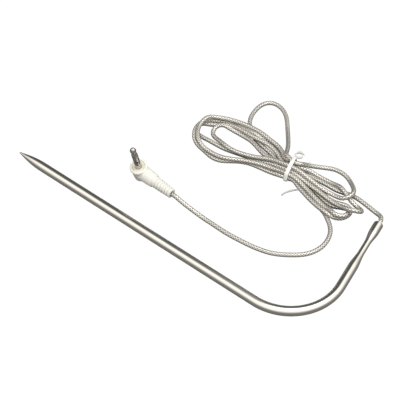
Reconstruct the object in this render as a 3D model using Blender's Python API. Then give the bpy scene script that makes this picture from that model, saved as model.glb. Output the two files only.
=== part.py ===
"""A wired temperature probe for a grill or an oven.

A thin steel tube with a pointed nose is bent near its cable end and crimped onto a steel-braided cable.
The cable is folded into a hank, held by a twist tie, and ends in a right-angle jack plug. The probe lies
on the ground plane with its straight run along +X and its bent leg towards +Y. The origin is under the
middle of the probe's box, and the units are metres.
"""

from math import cos, pi, radians, sin, sqrt

import bmesh
import bpy
from mathutils import Matrix, Vector

MM = 0.001

# Fits between pieces
NEST_GAP = 0.06 * MM  # radial room between pieces that sit one inside the other
FACE_GAP = 0.3 * MM  # room between faces that meet end to end

# Probe tube
TUBE_RADIUS = 1.9 * MM
TUBE_WALL = 0.35 * MM
STRAIGHT_LENGTH = 115.5 * MM  # from the nose to the start of the bend
NOSE_LENGTH = 12.6 * MM
NOSE_FLAT = 0.12 * MM  # radius of the blunted point
NOSE_SOLID = 6.5 * MM  # length of the nose that is closed metal
BEND_RADIUS = 21.0 * MM  # at the middle of the tube
BEND_ANGLE = radians(99)
BEND_STEPS = 11
LEG_LENGTH = 33.4 * MM  # from the end of the bend to the mouth
CRIMP_RADIUS = 1.26 * MM
CRIMP_START = 10.0 * MM  # where the leg begins to narrow, from the end of the bend
CRIMP_NECK = 18.2 * MM
CRIMP_NECK_END = 23.0 * MM
CRIMP_END = 29.5 * MM
MOUTH_ROLL = 0.3 * MM  # how far the mouth's edge is rolled inwards

# Sensor and its joint to the cable's wires, measured from the nose along the tube
BEAD_RADIUS = 0.75 * MM
BEAD_LENGTH = 2.3 * MM
BEAD_START = 8.4 * MM
FILLER_END = 26.0 * MM
FILLER_BORE = 1.0 * MM
LEAD_RADIUS = 0.13 * MM
LEAD_OFFSET = 0.5 * MM
SLEEVE_RADIUS = 0.32 * MM
SLEEVE_WALL = 0.12 * MM
SLEEVE_SHORT = 2.0 * MM  # how far the sleeves stop before the filler's end
SPLICE_RADIUS = 0.42 * MM
SPLICE_WALL = 0.16 * MM
SPLICE_LENGTH = 5.0 * MM
SHRINK_WALL = 0.2 * MM
SHRINK_OVERHANG = 1.5 * MM
CORE_RADIUS = 0.27 * MM
CORE_OFFSET = 0.31 * MM  # where the two cores lie side by side in the braid
CORE_BARE = 0.18 * MM

# Cable
CABLE_RADIUS = 0.9 * MM
BRAID_WALL = 0.14 * MM
CABLE_SPACING = 3.6 * MM
LINER_FIT = 0.02 * MM  # radial room between the liner and the tube's rolled mouth
LINER_DEPTH = 4.5 * MM  # length of the liner inside the mouth
LINER_SHOWS = 0.8 * MM

# Jack plug: the pin stands along the plug's own +Z and the boot points along its +X
PLUG_PLACE = (-24.4 * MM, -7.6 * MM)  # where the pin's axis crosses the boot's, over the ground
PLUG_HEADING = radians(-4.8)
PLUG_ROLL = radians(12.5)
COLLAR_FACE = 3.45 * MM  # height of the seating face over the boot's axis
COLLAR_RADIUS = 3.6 * MM
COLLAR_DEPTH = 1.1 * MM
HEAD_RADIUS = 3.2 * MM
HEAD_DEPTH = 3.9 * MM  # from the boot's axis to the bottom of the head
HEAD_FOOT_RADIUS = 2.9 * MM
HEAD_ROUND = 0.8 * MM
NECK_START = 6.8 * MM
NECK_RADIUS = 2.78 * MM
NECK_END = 8.1 * MM
BOOT_START = 9.0 * MM
BOOT_END = 17.1 * MM
BOOT_RADIUS = 2.33 * MM
BOOT_END_RADIUS = 1.93 * MM
GROOVES = 6
GROOVE_DEPTH = 0.32 * MM
INSERT_RADIUS = 2.52 * MM
INSERT_BOTTOM = 0.8 * MM
INSERT_SHELF = 0.7 * MM  # depth of the insert's closed rim over the jack's flange
WIRE_ROOM = 1.25 * MM  # radius of the passage from the head to the boot
FERRULE_START = 10.4 * MM
FERRULE_END = 12.4 * MM

# Jack contacts, heights over the seating face
PIN_LENGTH = 12.3 * MM
PIN_RADIUS = 1.25 * MM
CONTACT_WALL = 0.13 * MM
INSULATOR_WALL = 0.12 * MM
INSULATOR_LENGTH = 0.6 * MM
SLEEVE_TOP = 3.9 * MM
RING_TOP = 7.1 * MM
FLANGE_RADIUS = 1.9 * MM
FLANGE_THICKNESS = 0.8 * MM
TERMINAL_THICKNESS = 0.3 * MM
TERMINAL_STEP = 0.5 * MM

# Hank and its tie
HANK_HEIGHT = 4.6 * MM
HANK_EDGE = 0.9 * MM
NECK_PLACE = Vector((19.6 * MM, 29.9 * MM, 0))
NECK_TURN = radians(17)
NECK_HALF_WIDTH = 3.9 * MM
NECK_RISE = 1.25 * MM
NECK_TOP = 6.3 * MM
NECK_REACH = 9.0 * MM
NECK_GROWTH = (NECK_TOP - NECK_RISE) / HANK_HEIGHT - 1
TIE_WIDTH = 1.3 * MM
TIE_THICKNESS = 0.7 * MM
TIE_WIRE_RADIUS = 0.12 * MM

# Outline of the hank on the ground, in millimetres, from the tie round each lobe and back to it
LEFT_LOBE = [
    (11, 36.2), (2, 38.5), (-6, 39.1), (-13, 38.2), (-20, 35.8), (-24, 31), (-25, 25.5),
    (-22.5, 20.2), (-17, 17), (-9, 15.8), (-3, 17), (4, 21), (12, 24.6),
]  # fmt: skip
RIGHT_LOBE = [
    (27, 23.4), (34, 20.8), (41, 18.9), (47, 19), (51.5, 21.8), (54.6, 27.5), (53.6, 31.8),
    (48.4, 37), (43.4, 41.3), (36, 42.8), (28, 40.8),
]  # fmt: skip

# Routes of the cable's free stretches, in millimetres, from the probe's end towards the plug
PROBE_SIDE_ROUTE = [(57.8, 33.4, 1.3), (54.8, 34.6, 1.0), (52.2, 35, 1.0)]
LOOP_ROUTE = [
    (14.4, 36.3, 2.6), (11, 41.2, 1.9), (7.8, 45.6, 1.2), (3.6, 51.2, 0.95), (-0.8, 54.6, 0.95),
    (-5.6, 55.9, 0.95), (-9.4, 54, 0.95), (-11, 50.3, 0.95), (-10.8, 46, 1.2), (-9.2, 39.4, 1.9),
]  # fmt: skip
PLUG_SIDE_ROUTE = [
    (47.4, 18.7, 1), (49.4, 15.2, 0.95), (50.8, 10.5, 0.95), (50.6, 6.4, 0.95), (48.6, 1.8, 0.95),
    (44.4, -2.3, 0.95), (38.2, -6.2, 0.95), (32.4, -7.9, 0.95), (25.6, -8.8, 0.95),
    (18.6, -9.2, 0.95), (12.6, -9, 1.05), (7, -8.9, 1.6), (2, -9, 2.7), (-2, -9.1, 3.8),
]  # fmt: skip


def clear_scene():
    for obj in list(bpy.data.objects):
        bpy.data.objects.remove(obj, do_unlink=True)


def finish(name, colour, roughness, metallic=0.0):
    """A plain Principled material."""
    material = bpy.data.materials.new(name)
    material.use_nodes = True
    shader = material.node_tree.nodes["Principled BSDF"]
    shader.inputs["Base Color"].default_value = (*colour, 1)
    shader.inputs["Roughness"].default_value = roughness
    shader.inputs["Metallic"].default_value = metallic
    return material


def add_mesh(name, bm, material, parent=None):
    """Makes an object of a bmesh, with its faces turned outwards and its round sides smooth."""
    bmesh.ops.recalc_face_normals(bm, faces=bm.faces)
    mesh = bpy.data.meshes.new(name)
    bm.to_mesh(mesh)
    bm.free()
    mesh.shade_smooth()
    mesh.set_sharp_from_angle(angle=radians(35))
    if material:
        mesh.materials.append(material)
    obj = bpy.data.objects.new(name, mesh)
    bpy.context.scene.collection.objects.link(obj)
    obj.parent = parent
    return obj


def skin(name, stations, material, sides=16, bore=False, parent=None):
    """A solid skinned over round sections, each a frame and a radius.

    A radius may be a pair, for an oval. With bore set, the last section meets the first, as in a pipe."""
    bm = bmesh.new()
    rings = []
    for frame, radius in stations:
        width, height = radius if isinstance(radius, tuple) else (radius, radius)
        oval = frame @ Matrix.Diagonal((width, height, 1, 1))
        rings.append(bmesh.ops.create_circle(bm, segments=sides, radius=1.0, matrix=oval)["verts"])
    following = rings[1:] + rings[:1] if bore else rings[1:]
    for ring, next_ring in zip(rings, following):
        for index in range(sides):
            bm.faces.new((ring[index - 1], ring[index], next_ring[index], next_ring[index - 1]))
    if not bore:
        bm.faces.new(rings[0])
        bm.faces.new(rings[-1])
    return add_mesh(name, bm, material, parent)


def turned(name, profile, material, parent=None, along="Z", sides=24, bore=False):
    """A turned piece from its profile of (place along the axis, radius) pairs."""
    axis = Matrix.Rotation(pi / 2, 4, "Y") if along == "X" else Matrix.Identity(4)
    stations = [(axis @ Matrix.Translation((0, 0, place)), radius) for place, radius in profile]
    return skin(name, stations, material, sides, bore, parent)


def pipe_profile(start, end, outer, inner):
    return [(start, inner), (start, outer), (end, outer), (end, inner)]


def cut(target, cutter, operation="DIFFERENCE"):
    """Adds an exact Boolean to a piece, and hides its other shape."""
    modifier = target.modifiers.new(cutter.name, "BOOLEAN")
    modifier.operation = operation
    modifier.object = cutter
    cutter.hide_render = True
    cutter.display_type = "WIRE"


def smooth_points(points, spacing, closed=False):
    """Even points along a smooth curve through the given ones (Catmull-Rom)."""
    points = [Vector(point) for point in points]
    if closed:
        ends = [points[-1], *points, points[0], points[1]]
    else:
        first = 2 * points[0] - points[1]
        last = 2 * points[-1] - points[-2]
        ends = [first, *points, last]
    fine = []
    for a, b, c, d in zip(ends, ends[1:], ends[2:], ends[3:]):
        for step in range(24):
            t = step / 24
            curve = b * 2 + (c - a) * t + (a * 2 - b * 5 + c * 4 - d) * t**2
            fine.append((curve + (b * 3 - a - c * 3 + d) * t**3) / 2)
    fine.append(ends[-2])
    lengths = [0.0]
    for a, b in zip(fine, fine[1:]):
        lengths.append(lengths[-1] + (b - a).length)
    count = max(2, round(lengths[-1] / spacing))
    even = []
    index = 0
    for step in range(count + (not closed)):
        wanted = lengths[-1] * step / count
        while index < len(fine) - 2 and lengths[index + 1] < wanted:
            index += 1
        span = max(lengths[index + 1] - lengths[index], 1e-12)
        even.append(fine[index].lerp(fine[index + 1], (wanted - lengths[index]) / span))
    return even


def in_metres(points):
    return [tuple(value * MM for value in point) for point in points]


def cord(name, points, radius, material, parent=None):
    """A round cord through the points, closed at both ends."""
    curve = bpy.data.curves.new(name, "CURVE")
    curve.dimensions = "3D"
    curve.bevel_depth = radius
    curve.bevel_resolution = 2
    curve.use_fill_caps = True
    spline = curve.splines.new("POLY")
    spline.points.add(len(points) - 1)
    for spline_point, point in zip(spline.points, points):
        spline_point.co = (*point, 1)
    curve.materials.append(material)
    obj = bpy.data.objects.new(name, curve)
    bpy.context.scene.collection.objects.link(obj)
    obj.parent = parent
    return obj


# The probe's middle line: a straight run, one bend and a straight leg

BEND_LENGTH = BEND_RADIUS * BEND_ANGLE
LEG_START = STRAIGHT_LENGTH + BEND_LENGTH
TUBE_LENGTH = LEG_START + LEG_LENGTH
SPLICE_START = FILLER_END + FACE_GAP + SHRINK_OVERHANG
SPLICE_END = SPLICE_START + SPLICE_LENGTH
SPLICE_MIDDLE = (SPLICE_START + SPLICE_END) / 2
CABLE_START = TUBE_LENGTH + LINER_SHOWS
MOUTH_RADIUS = TUBE_RADIUS - MOUTH_ROLL
MOUTH_BORE = MOUTH_RADIUS - TUBE_WALL
LINER_RADIUS = MOUTH_BORE - LINER_FIT


def bend_point(length, offset=0.0):
    """Place and heading at a length from the nose, with the start of the bend at the origin."""
    turn = min(max((length - STRAIGHT_LENGTH) / BEND_RADIUS, 0), BEND_ANGLE)
    run = min(length, STRAIGHT_LENGTH) - STRAIGHT_LENGTH
    leg = max(length - LEG_START, 0)
    x = run + BEND_RADIUS * sin(turn) + leg * cos(turn)
    y = BEND_RADIUS * (1 - cos(turn)) + leg * sin(turn)
    return x, y, turn


def nose_radius(length):
    """Radius of the pointed nose, an arc that runs smoothly into the tube."""
    if length >= NOSE_LENGTH:
        return TUBE_RADIUS
    arc = (TUBE_RADIUS**2 + NOSE_LENGTH**2) / (2 * TUBE_RADIUS)
    rise = sqrt(arc**2 - (NOSE_LENGTH - length) ** 2) + TUBE_RADIUS - arc
    return max(rise, NOSE_FLAT)


def ease(value):
    value = min(max(value, 0), 1)
    return value * value * (3 - 2 * value)


def outer_radius(length):
    """The tube's outer radius, with its nose and its crimp."""
    leg = length - LEG_START
    narrowing = ease((leg - CRIMP_START) / (CRIMP_NECK - CRIMP_START))
    widening = ease((leg - CRIMP_NECK_END) / (CRIMP_END - CRIMP_NECK_END))
    return nose_radius(length) - (TUBE_RADIUS - CRIMP_RADIUS) * (narrowing - widening)


def tube_lengths():
    """Where the tube's sections stand, counted from the nose."""
    nose = [NOSE_LENGTH * step / 10 for step in range(11)]
    run = [STRAIGHT_LENGTH * 0.35, STRAIGHT_LENGTH * 0.65]
    bend = [STRAIGHT_LENGTH + BEND_LENGTH * step / BEND_STEPS for step in range(BEND_STEPS + 1)]
    crimp = [CRIMP_START + (CRIMP_NECK - CRIMP_START) * step / 5 for step in range(6)]
    crimp += [CRIMP_NECK_END + (CRIMP_END - CRIMP_NECK_END) * step / 5 for step in range(6)]
    mouth = [LEG_LENGTH - 2 * MOUTH_ROLL]
    return nose + run + bend + [LEG_START + leg for leg in crimp + mouth]


def box_middle():
    """Middle of the probe's box on the ground, with the start of the bend at the origin."""
    corners = []
    for length in [*tube_lengths(), TUBE_LENGTH, CABLE_START]:
        x, y, turn = bend_point(length)
        radius = outer_radius(length)
        if length == TUBE_LENGTH:
            radius = MOUTH_RADIUS
        if length == CABLE_START:
            radius = LINER_RADIUS
        for side in (-radius, radius):
            corners.append((x - side * sin(turn), y + side * cos(turn)))
    middles = []
    for values in zip(*corners):
        middles.append((min(values) + max(values)) / 2)
    return middles


MIDDLE_X, MIDDLE_Y = box_middle()


def tube_frame(length, lift=0.0):
    """A frame on the tube's middle line whose Z runs towards the cable, and whose X points down."""
    x, y, turn = bend_point(length)
    place = Matrix.Translation((x - MIDDLE_X, y - MIDDLE_Y, TUBE_RADIUS + lift))
    heading = Matrix.Rotation(turn, 4, "Z") @ Matrix.Rotation(pi / 2, 4, "Y")
    return place @ heading


def lengths_between(start, end, extra=()):
    """The tube's own section places between two lengths, with the two ends."""
    inner = [length for length in tube_lengths() if start + 0.1 * MM < length < end - 0.1 * MM]
    return sorted({start, *inner, *extra, end})


def make_probe_tube(steel):
    outside = [(tube_frame(length), outer_radius(length)) for length in tube_lengths()]
    outside.append((tube_frame(TUBE_LENGTH - MOUTH_ROLL), TUBE_RADIUS - MOUTH_ROLL * 0.3))
    outside.append((tube_frame(TUBE_LENGTH), MOUTH_RADIUS))
    inside = [(tube_frame(TUBE_LENGTH), MOUTH_BORE)]
    for length in reversed(lengths_between(NOSE_SOLID, TUBE_LENGTH - 2 * MOUTH_ROLL)):
        inside.append((tube_frame(length), outer_radius(length) - TUBE_WALL))
    return skin("probe_tube", outside + inside, steel)


def inner_radius(length):
    return outer_radius(length) - TUBE_WALL


def make_sensor(ceramic, glass, copper, varnish):
    """The bead in its filler, with its two leads and their sleeves."""
    filler_start = NOSE_SOLID + FACE_GAP
    shell = lengths_between(filler_start, FILLER_END)
    stations = [(tube_frame(length), inner_radius(length) - NEST_GAP) for length in shell]
    bore_bottom = BEAD_START - FACE_GAP
    stations += [(tube_frame(FILLER_END), FILLER_BORE), (tube_frame(bore_bottom), FILLER_BORE)]
    skin("tip_filler", stations, ceramic)

    bead = []
    for step in range(9):
        angle = pi * (0.06 + 0.88 * step / 8)
        place = BEAD_START + BEAD_LENGTH * (1 - cos(angle)) / 2
        bead.append((tube_frame(place), BEAD_RADIUS * sin(angle)))
    skin("thermistor_bead", bead, glass, sides=16)

    lead_start = BEAD_START + BEAD_LENGTH + NEST_GAP
    sleeve_start = lead_start + FACE_GAP
    sleeve_bore = SLEEVE_RADIUS - SLEEVE_WALL
    for letter, lift in (("a", LEAD_OFFSET), ("b", -LEAD_OFFSET)):
        lead = [(tube_frame(lead_start, lift), LEAD_RADIUS)]
        lead.append((tube_frame(SPLICE_MIDDLE, lift), LEAD_RADIUS))
        skin(f"bead_lead_{letter}", lead, copper, sides=8)
        ends = (sleeve_start, FILLER_END - SLEEVE_SHORT)
        sleeve = [(tube_frame(ends[0], lift), sleeve_bore), (tube_frame(ends[0], lift), SLEEVE_RADIUS)]
        sleeve += [(tube_frame(ends[1], lift), SLEEVE_RADIUS), (tube_frame(ends[1], lift), sleeve_bore)]
        skin(f"lead_sleeve_{letter}", sleeve, varnish, sides=12, bore=True)


def make_splices(copper, shrink):
    """A crimped barrel over each lead's end, and one shrunk sleeve over both."""
    bore = SPLICE_RADIUS - SPLICE_WALL
    for letter, lift in (("a", LEAD_OFFSET), ("b", -LEAD_OFFSET)):
        ends = (SPLICE_START, SPLICE_END)
        barrel = [(tube_frame(ends[0], lift), bore), (tube_frame(ends[0], lift), SPLICE_RADIUS)]
        barrel += [(tube_frame(ends[1], lift), SPLICE_RADIUS), (tube_frame(ends[1], lift), bore)]
        skin(f"splice_barrel_{letter}", barrel, copper, sides=12, bore=True)
    outer = TUBE_RADIUS - TUBE_WALL - NEST_GAP
    ends = (SPLICE_START - SHRINK_OVERHANG, SPLICE_END + SHRINK_OVERHANG)
    sleeve = [(tube_frame(ends[0]), outer - SHRINK_WALL), (tube_frame(ends[0]), outer)]
    sleeve += [(tube_frame(ends[1]), outer), (tube_frame(ends[1]), outer - SHRINK_WALL)]
    skin("splice_sleeve", sleeve, shrink, bore=True)


def make_core_wires(insulation):
    """The cable's two cores, bare in their splices and close together inside the braid."""
    bare_start = SPLICE_MIDDLE + NEST_GAP
    bare_end = SPLICE_END + FACE_GAP
    close_start = LEG_START
    close_end = LEG_START + CRIMP_START
    for letter, side in (("a", 1), ("b", -1)):
        stations = [(tube_frame(bare_start, side * LEAD_OFFSET), CORE_BARE)]
        stations.append((tube_frame(bare_end, side * LEAD_OFFSET), CORE_BARE))
        extra = (close_start, close_end)
        for length in lengths_between(bare_end + NEST_GAP, CABLE_START - NEST_GAP, extra):
            closing = ease((length - close_start) / (close_end - close_start))
            lift = LEAD_OFFSET + (CORE_OFFSET - LEAD_OFFSET) * closing
            stations.append((tube_frame(length, side * lift), CORE_RADIUS))
        skin(f"core_wire_{letter}", stations, insulation, sides=8)


def make_cable_entry(braid, liner):
    """The cable's end inside the crimp, and the liner that shows at the mouth."""
    start = LEG_START + (CRIMP_START + CRIMP_NECK) / 2
    places = lengths_between(start, CABLE_START)
    outside = []
    inside = []
    for length in places:
        radius = min(CABLE_RADIUS, inner_radius(length) - NEST_GAP)
        outside.append((tube_frame(length), radius))
        inside.append((tube_frame(length), radius - BRAID_WALL))
    skin("braid_end_probe", outside + inside[::-1], braid, bore=True)

    bore = CABLE_RADIUS + NEST_GAP
    start = TUBE_LENGTH - LINER_DEPTH
    profile = [(start, bore), (start, bore + 0.1 * MM), (start + 2 * MM, LINER_RADIUS)]
    profile += [(CABLE_START, LINER_RADIUS), (CABLE_START, bore)]
    skin("end_liner", [(tube_frame(place), radius) for place, radius in profile], liner, bore=True)


def make_plug_seat():
    """The crossing of the pin's and the boot's axes, at the height where the head's foot meets the ground."""
    foot = HEAD_FOOT_RADIUS - HEAD_ROUND
    height = (HEAD_DEPTH - HEAD_ROUND) * cos(PLUG_ROLL) + foot * sin(PLUG_ROLL) + HEAD_ROUND
    seat = bpy.data.objects.new("plug_seat", None)
    bpy.context.scene.collection.objects.link(seat)
    seat.location = (*PLUG_PLACE, height)
    seat.rotation_mode = "XYZ"
    seat.rotation_euler = (PLUG_ROLL, 0, PLUG_HEADING)
    return seat


def boot_profile():
    """The barrel, its neck and the ribbed boot, from the pin's axis to the boot's end."""
    profile = [(0, HEAD_FOOT_RADIUS), (HEAD_RADIUS, HEAD_RADIUS - 0.1 * MM), (NECK_START, NECK_RADIUS)]
    profile += [(NECK_END - 0.3 * MM, NECK_RADIUS - 0.12 * MM), (NECK_END, BOOT_RADIUS)]
    pitch = (BOOT_END - BOOT_START) / (GROOVES + 0.5)
    for groove in range(GROOVES):
        start = BOOT_START + pitch * (groove + 0.25)
        share = (start - BOOT_START) / (BOOT_END - BOOT_START)
        radius = BOOT_RADIUS + (BOOT_END_RADIUS - BOOT_RADIUS) * share
        profile += [(start, radius), (start + 0.12 * pitch, radius - GROOVE_DEPTH)]
        profile += [(start + 0.4 * pitch, radius - GROOVE_DEPTH), (start + 0.52 * pitch, radius)]
    profile += [(BOOT_END - 0.25 * MM, BOOT_END_RADIUS), (BOOT_END, BOOT_END_RADIUS - 0.25 * MM)]
    return profile


def make_plug_body(seat, white, cream):
    """The moulded head and boot in one piece, and the cream insert round the pin."""
    foot = HEAD_FOOT_RADIUS
    head = [(-HEAD_DEPTH, foot - HEAD_ROUND)]
    for step in range(1, 5):
        angle = step / 4 * pi / 2
        head.append((-HEAD_DEPTH + HEAD_ROUND * (1 - cos(angle)), foot - HEAD_ROUND * (1 - sin(angle))))
    collar_back = COLLAR_FACE - COLLAR_DEPTH
    head += [(collar_back - 0.4 * MM, HEAD_RADIUS), (collar_back, COLLAR_RADIUS)]
    head += [(COLLAR_FACE - 0.3 * MM, COLLAR_RADIUS), (COLLAR_FACE, COLLAR_RADIUS - 0.3 * MM)]
    housing = turned("plug_housing", head, white, seat)
    cut(housing, turned("boot_shape", boot_profile(), None, seat, along="X"), "UNION")

    room = INSERT_RADIUS + NEST_GAP
    pocket_depth = HEAD_DEPTH - 1.0 * MM
    pocket = [(-pocket_depth, room), (COLLAR_FACE + 1 * MM, room)]
    cut(housing, turned("insert_pocket", pocket, None, seat))
    bore = CABLE_RADIUS + NEST_GAP
    passage = [(0, WIRE_ROOM), (FERRULE_END + FACE_GAP, WIRE_ROOM), (FERRULE_END + FACE_GAP, bore)]
    passage.append((BOOT_END + 1 * MM, bore))
    cut(housing, turned("wire_passage", passage, None, seat, along="X", sides=16))

    top = COLLAR_FACE - 0.15 * MM
    insert = [(INSERT_BOTTOM, FLANGE_RADIUS + NEST_GAP), (INSERT_BOTTOM, INSERT_RADIUS)]
    insert += [(top, INSERT_RADIUS), (top, PIN_RADIUS + NEST_GAP)]
    insert += [(top - INSERT_SHELF, PIN_RADIUS + NEST_GAP), (top - INSERT_SHELF, FLANGE_RADIUS + NEST_GAP)]
    turned("plug_insert", insert, cream, seat, bore=True)
    return top - INSERT_SHELF - NEST_GAP


def make_contacts(seat, flange_top, nickel, black):
    """The sleeve, ring and tip contacts, one inside the other, with an insulator between each two."""
    flange_bottom = flange_top - FLANGE_THICKNESS
    sleeve_top = COLLAR_FACE + SLEEVE_TOP
    ring_bottom = sleeve_top + INSULATOR_LENGTH
    ring_top = COLLAR_FACE + RING_TOP
    tip_bottom = ring_top + INSULATOR_LENGTH
    pin_end = COLLAR_FACE + PIN_LENGTH

    rod = 0.22 * MM
    front_bore = rod + NEST_GAP
    front_stem = front_bore + INSULATOR_WALL
    ring_bore = front_stem + NEST_GAP
    ring_stem = ring_bore + CONTACT_WALL
    rear_bore = ring_stem + NEST_GAP
    rear_stem = rear_bore + INSULATOR_WALL
    sleeve_bore = rear_stem + NEST_GAP

    sleeve = [(flange_bottom, sleeve_bore), (flange_bottom, FLANGE_RADIUS), (flange_top, FLANGE_RADIUS)]
    sleeve += [(flange_top, PIN_RADIUS), (sleeve_top, PIN_RADIUS), (sleeve_top, sleeve_bore)]
    turned("jack_sleeve", sleeve, nickel, seat, bore=True)

    rear_end = flange_bottom - TERMINAL_STEP
    ring_end = rear_end - TERMINAL_STEP
    front_end = ring_end - TERMINAL_STEP
    tip_end = front_end - TERMINAL_STEP
    collar = (sleeve_top + NEST_GAP / 2, ring_bottom - NEST_GAP / 2)
    rear = [(rear_end, rear_bore), (rear_end, rear_stem), (collar[0], rear_stem)]
    rear += [(collar[0], PIN_RADIUS), (collar[1], PIN_RADIUS), (collar[1], rear_bore)]
    turned("rear_insulator", rear, black, seat, bore=True)

    ring = [(ring_end, ring_bore), (ring_end, ring_stem), (ring_bottom, ring_stem)]
    ring += [(ring_bottom, PIN_RADIUS), (ring_top, PIN_RADIUS), (ring_top, ring_bore)]
    turned("jack_ring", ring, nickel, seat, bore=True)

    collar = (ring_top + NEST_GAP / 2, tip_bottom - NEST_GAP / 2)
    front = [(front_end, front_bore), (front_end, front_stem), (collar[0], front_stem)]
    front += [(collar[0], PIN_RADIUS), (collar[1], PIN_RADIUS), (collar[1], front_bore)]
    turned("front_insulator", front, black, seat, bore=True)

    length = pin_end - tip_bottom
    tip = [(tip_end, rod), (tip_bottom, rod), (tip_bottom, PIN_RADIUS)]
    tip.append((tip_bottom + 0.1 * length, PIN_RADIUS))
    tip += [(tip_bottom + 0.34 * length, 0.68 * PIN_RADIUS), (tip_bottom + 0.44 * length, 0.72 * PIN_RADIUS)]
    tip += [(tip_bottom + 0.62 * length, PIN_RADIUS), (tip_bottom + 0.7 * length, 0.98 * PIN_RADIUS)]
    tip += [(tip_bottom + 0.88 * length, 0.7 * PIN_RADIUS), (pin_end - 0.1 * MM, 0.42 * PIN_RADIUS)]
    tip.append((pin_end, 0.2 * PIN_RADIUS))
    turned("jack_tip", tip, nickel, seat)

    washers = (
        ("sleeve_terminal", flange_bottom - NEST_GAP, rear_stem, FLANGE_RADIUS),
        ("ring_terminal", rear_end - NEST_GAP, ring_stem, 0.8 * FLANGE_RADIUS),
        ("tip_terminal", front_end - NEST_GAP, rod, 0.6 * FLANGE_RADIUS),
    )
    for name, top, stem, radius in washers:
        profile = pipe_profile(top - TERMINAL_THICKNESS, top, radius, stem + NEST_GAP)
        turned(name, profile, nickel, seat, bore=True)
    return tip_end


def make_plug_wiring(seat, wire_top, copper, insulation, braid):
    """The cable's end in the boot, the ferrule on its braid, and the two cores up to the terminals."""
    end = BOOT_END - FACE_GAP / 2
    profile = pipe_profile(FERRULE_START, end, CABLE_RADIUS, CABLE_RADIUS - BRAID_WALL)
    turned("braid_end_plug", profile, braid, seat, along="X", sides=16, bore=True)
    ferrule_bore = CABLE_RADIUS + NEST_GAP
    profile = pipe_profile(FERRULE_START, FERRULE_END, WIRE_ROOM - NEST_GAP, ferrule_bore)
    turned("braid_ferrule", profile, copper, seat, along="X", sides=16, bore=True)
    top = wire_top - FACE_GAP
    for letter, side in (("a", CORE_OFFSET), ("b", -CORE_OFFSET)):
        route = [(end, side, 0), (FERRULE_START, side, 0), (3 * MM, side, -0.2 * MM)]
        route += [(1.2 * MM, 1.6 * side, -1.3 * MM), (0.2 * MM, 2.2 * side, top - 0.6 * MM)]
        route.append((0, 2.2 * side, top))
        cord(f"plug_wire_{letter}", smooth_points(route, 1.2 * MM), CORE_RADIUS, insulation, seat)


def make_cable(seat, braid):
    """The cable's free stretches and its hank."""
    mouth = tube_frame(CABLE_START)
    heading = mouth.to_3x3() @ Vector((0, 0, 1))
    start = mouth.translation + heading * 1.6 * FACE_GAP
    lead_out = [start, start + heading * CABLE_SPACING / 2]
    route = [*lead_out, *in_metres(PROBE_SIDE_ROUTE)]
    cord("cable_probe_side", smooth_points(route, CABLE_SPACING), CABLE_RADIUS, braid)
    cord("cable_loop", smooth_points(in_metres(LOOP_ROUTE), CABLE_SPACING), CABLE_RADIUS, braid)
    gland = Matrix.LocRotScale(seat.location, seat.rotation_euler, None)
    ends = [gland @ Vector((BOOT_END + place, 0, 0)) for place in (1.5 * MM, FACE_GAP)]
    route = [*in_metres(PLUG_SIDE_ROUTE), *ends]
    cord("cable_plug_side", smooth_points(route, CABLE_SPACING), CABLE_RADIUS, braid)


def neck_frame():
    """The tie's own frame: X along the hank, Y across it, Z up."""
    return Matrix.Translation(NECK_PLACE) @ Matrix.Rotation(NECK_TURN, 4, "Z")


def make_hank(braid):
    """One closed solid of the hank's outer shape, drawn in where the tie holds it."""
    frame = neck_frame()
    waist = []
    for along, side in ((-1, -1), (1, -1), (1, 1), (-1, 1)):
        waist.append(frame @ Vector((along * TIE_WIDTH, side * NECK_HALF_WIDTH, 0)))
    left = [Vector((x * MM, y * MM, 0)) for x, y in LEFT_LOBE]
    right = [Vector((x * MM, y * MM, 0)) for x, y in RIGHT_LOBE]
    around = smooth_points([*left, *waist[:2], *right, *waist[2:]], 3.2 * MM, closed=True)

    bm = bmesh.new()
    face = bm.faces.new([bm.verts.new(point) for point in around])
    wall = bmesh.ops.extrude_face_region(bm, geom=[face])["geom"]
    roof = [item for item in wall if isinstance(item, bmesh.types.BMVert)]
    bmesh.ops.translate(bm, verts=roof, vec=(0, 0, HANK_HEIGHT))
    rim = [edge for edge in bm.edges if edge.verts[0].co.z == edge.verts[1].co.z]
    bmesh.ops.bevel(bm, geom=rim, offset=HANK_EDGE, segments=2, profile=0.5, affect="EDGES")
    bmesh.ops.triangulate(bm, faces=bm.faces)
    unplaced = frame.inverted()
    for vert in bm.verts:
        drawn = 1 - ease(abs((unplaced @ vert.co).x) / NECK_REACH)
        vert.co.z = vert.co.z * (1 + drawn * NECK_GROWTH) + drawn * NECK_RISE
    add_mesh("cable_hank", bm, braid)


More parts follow.
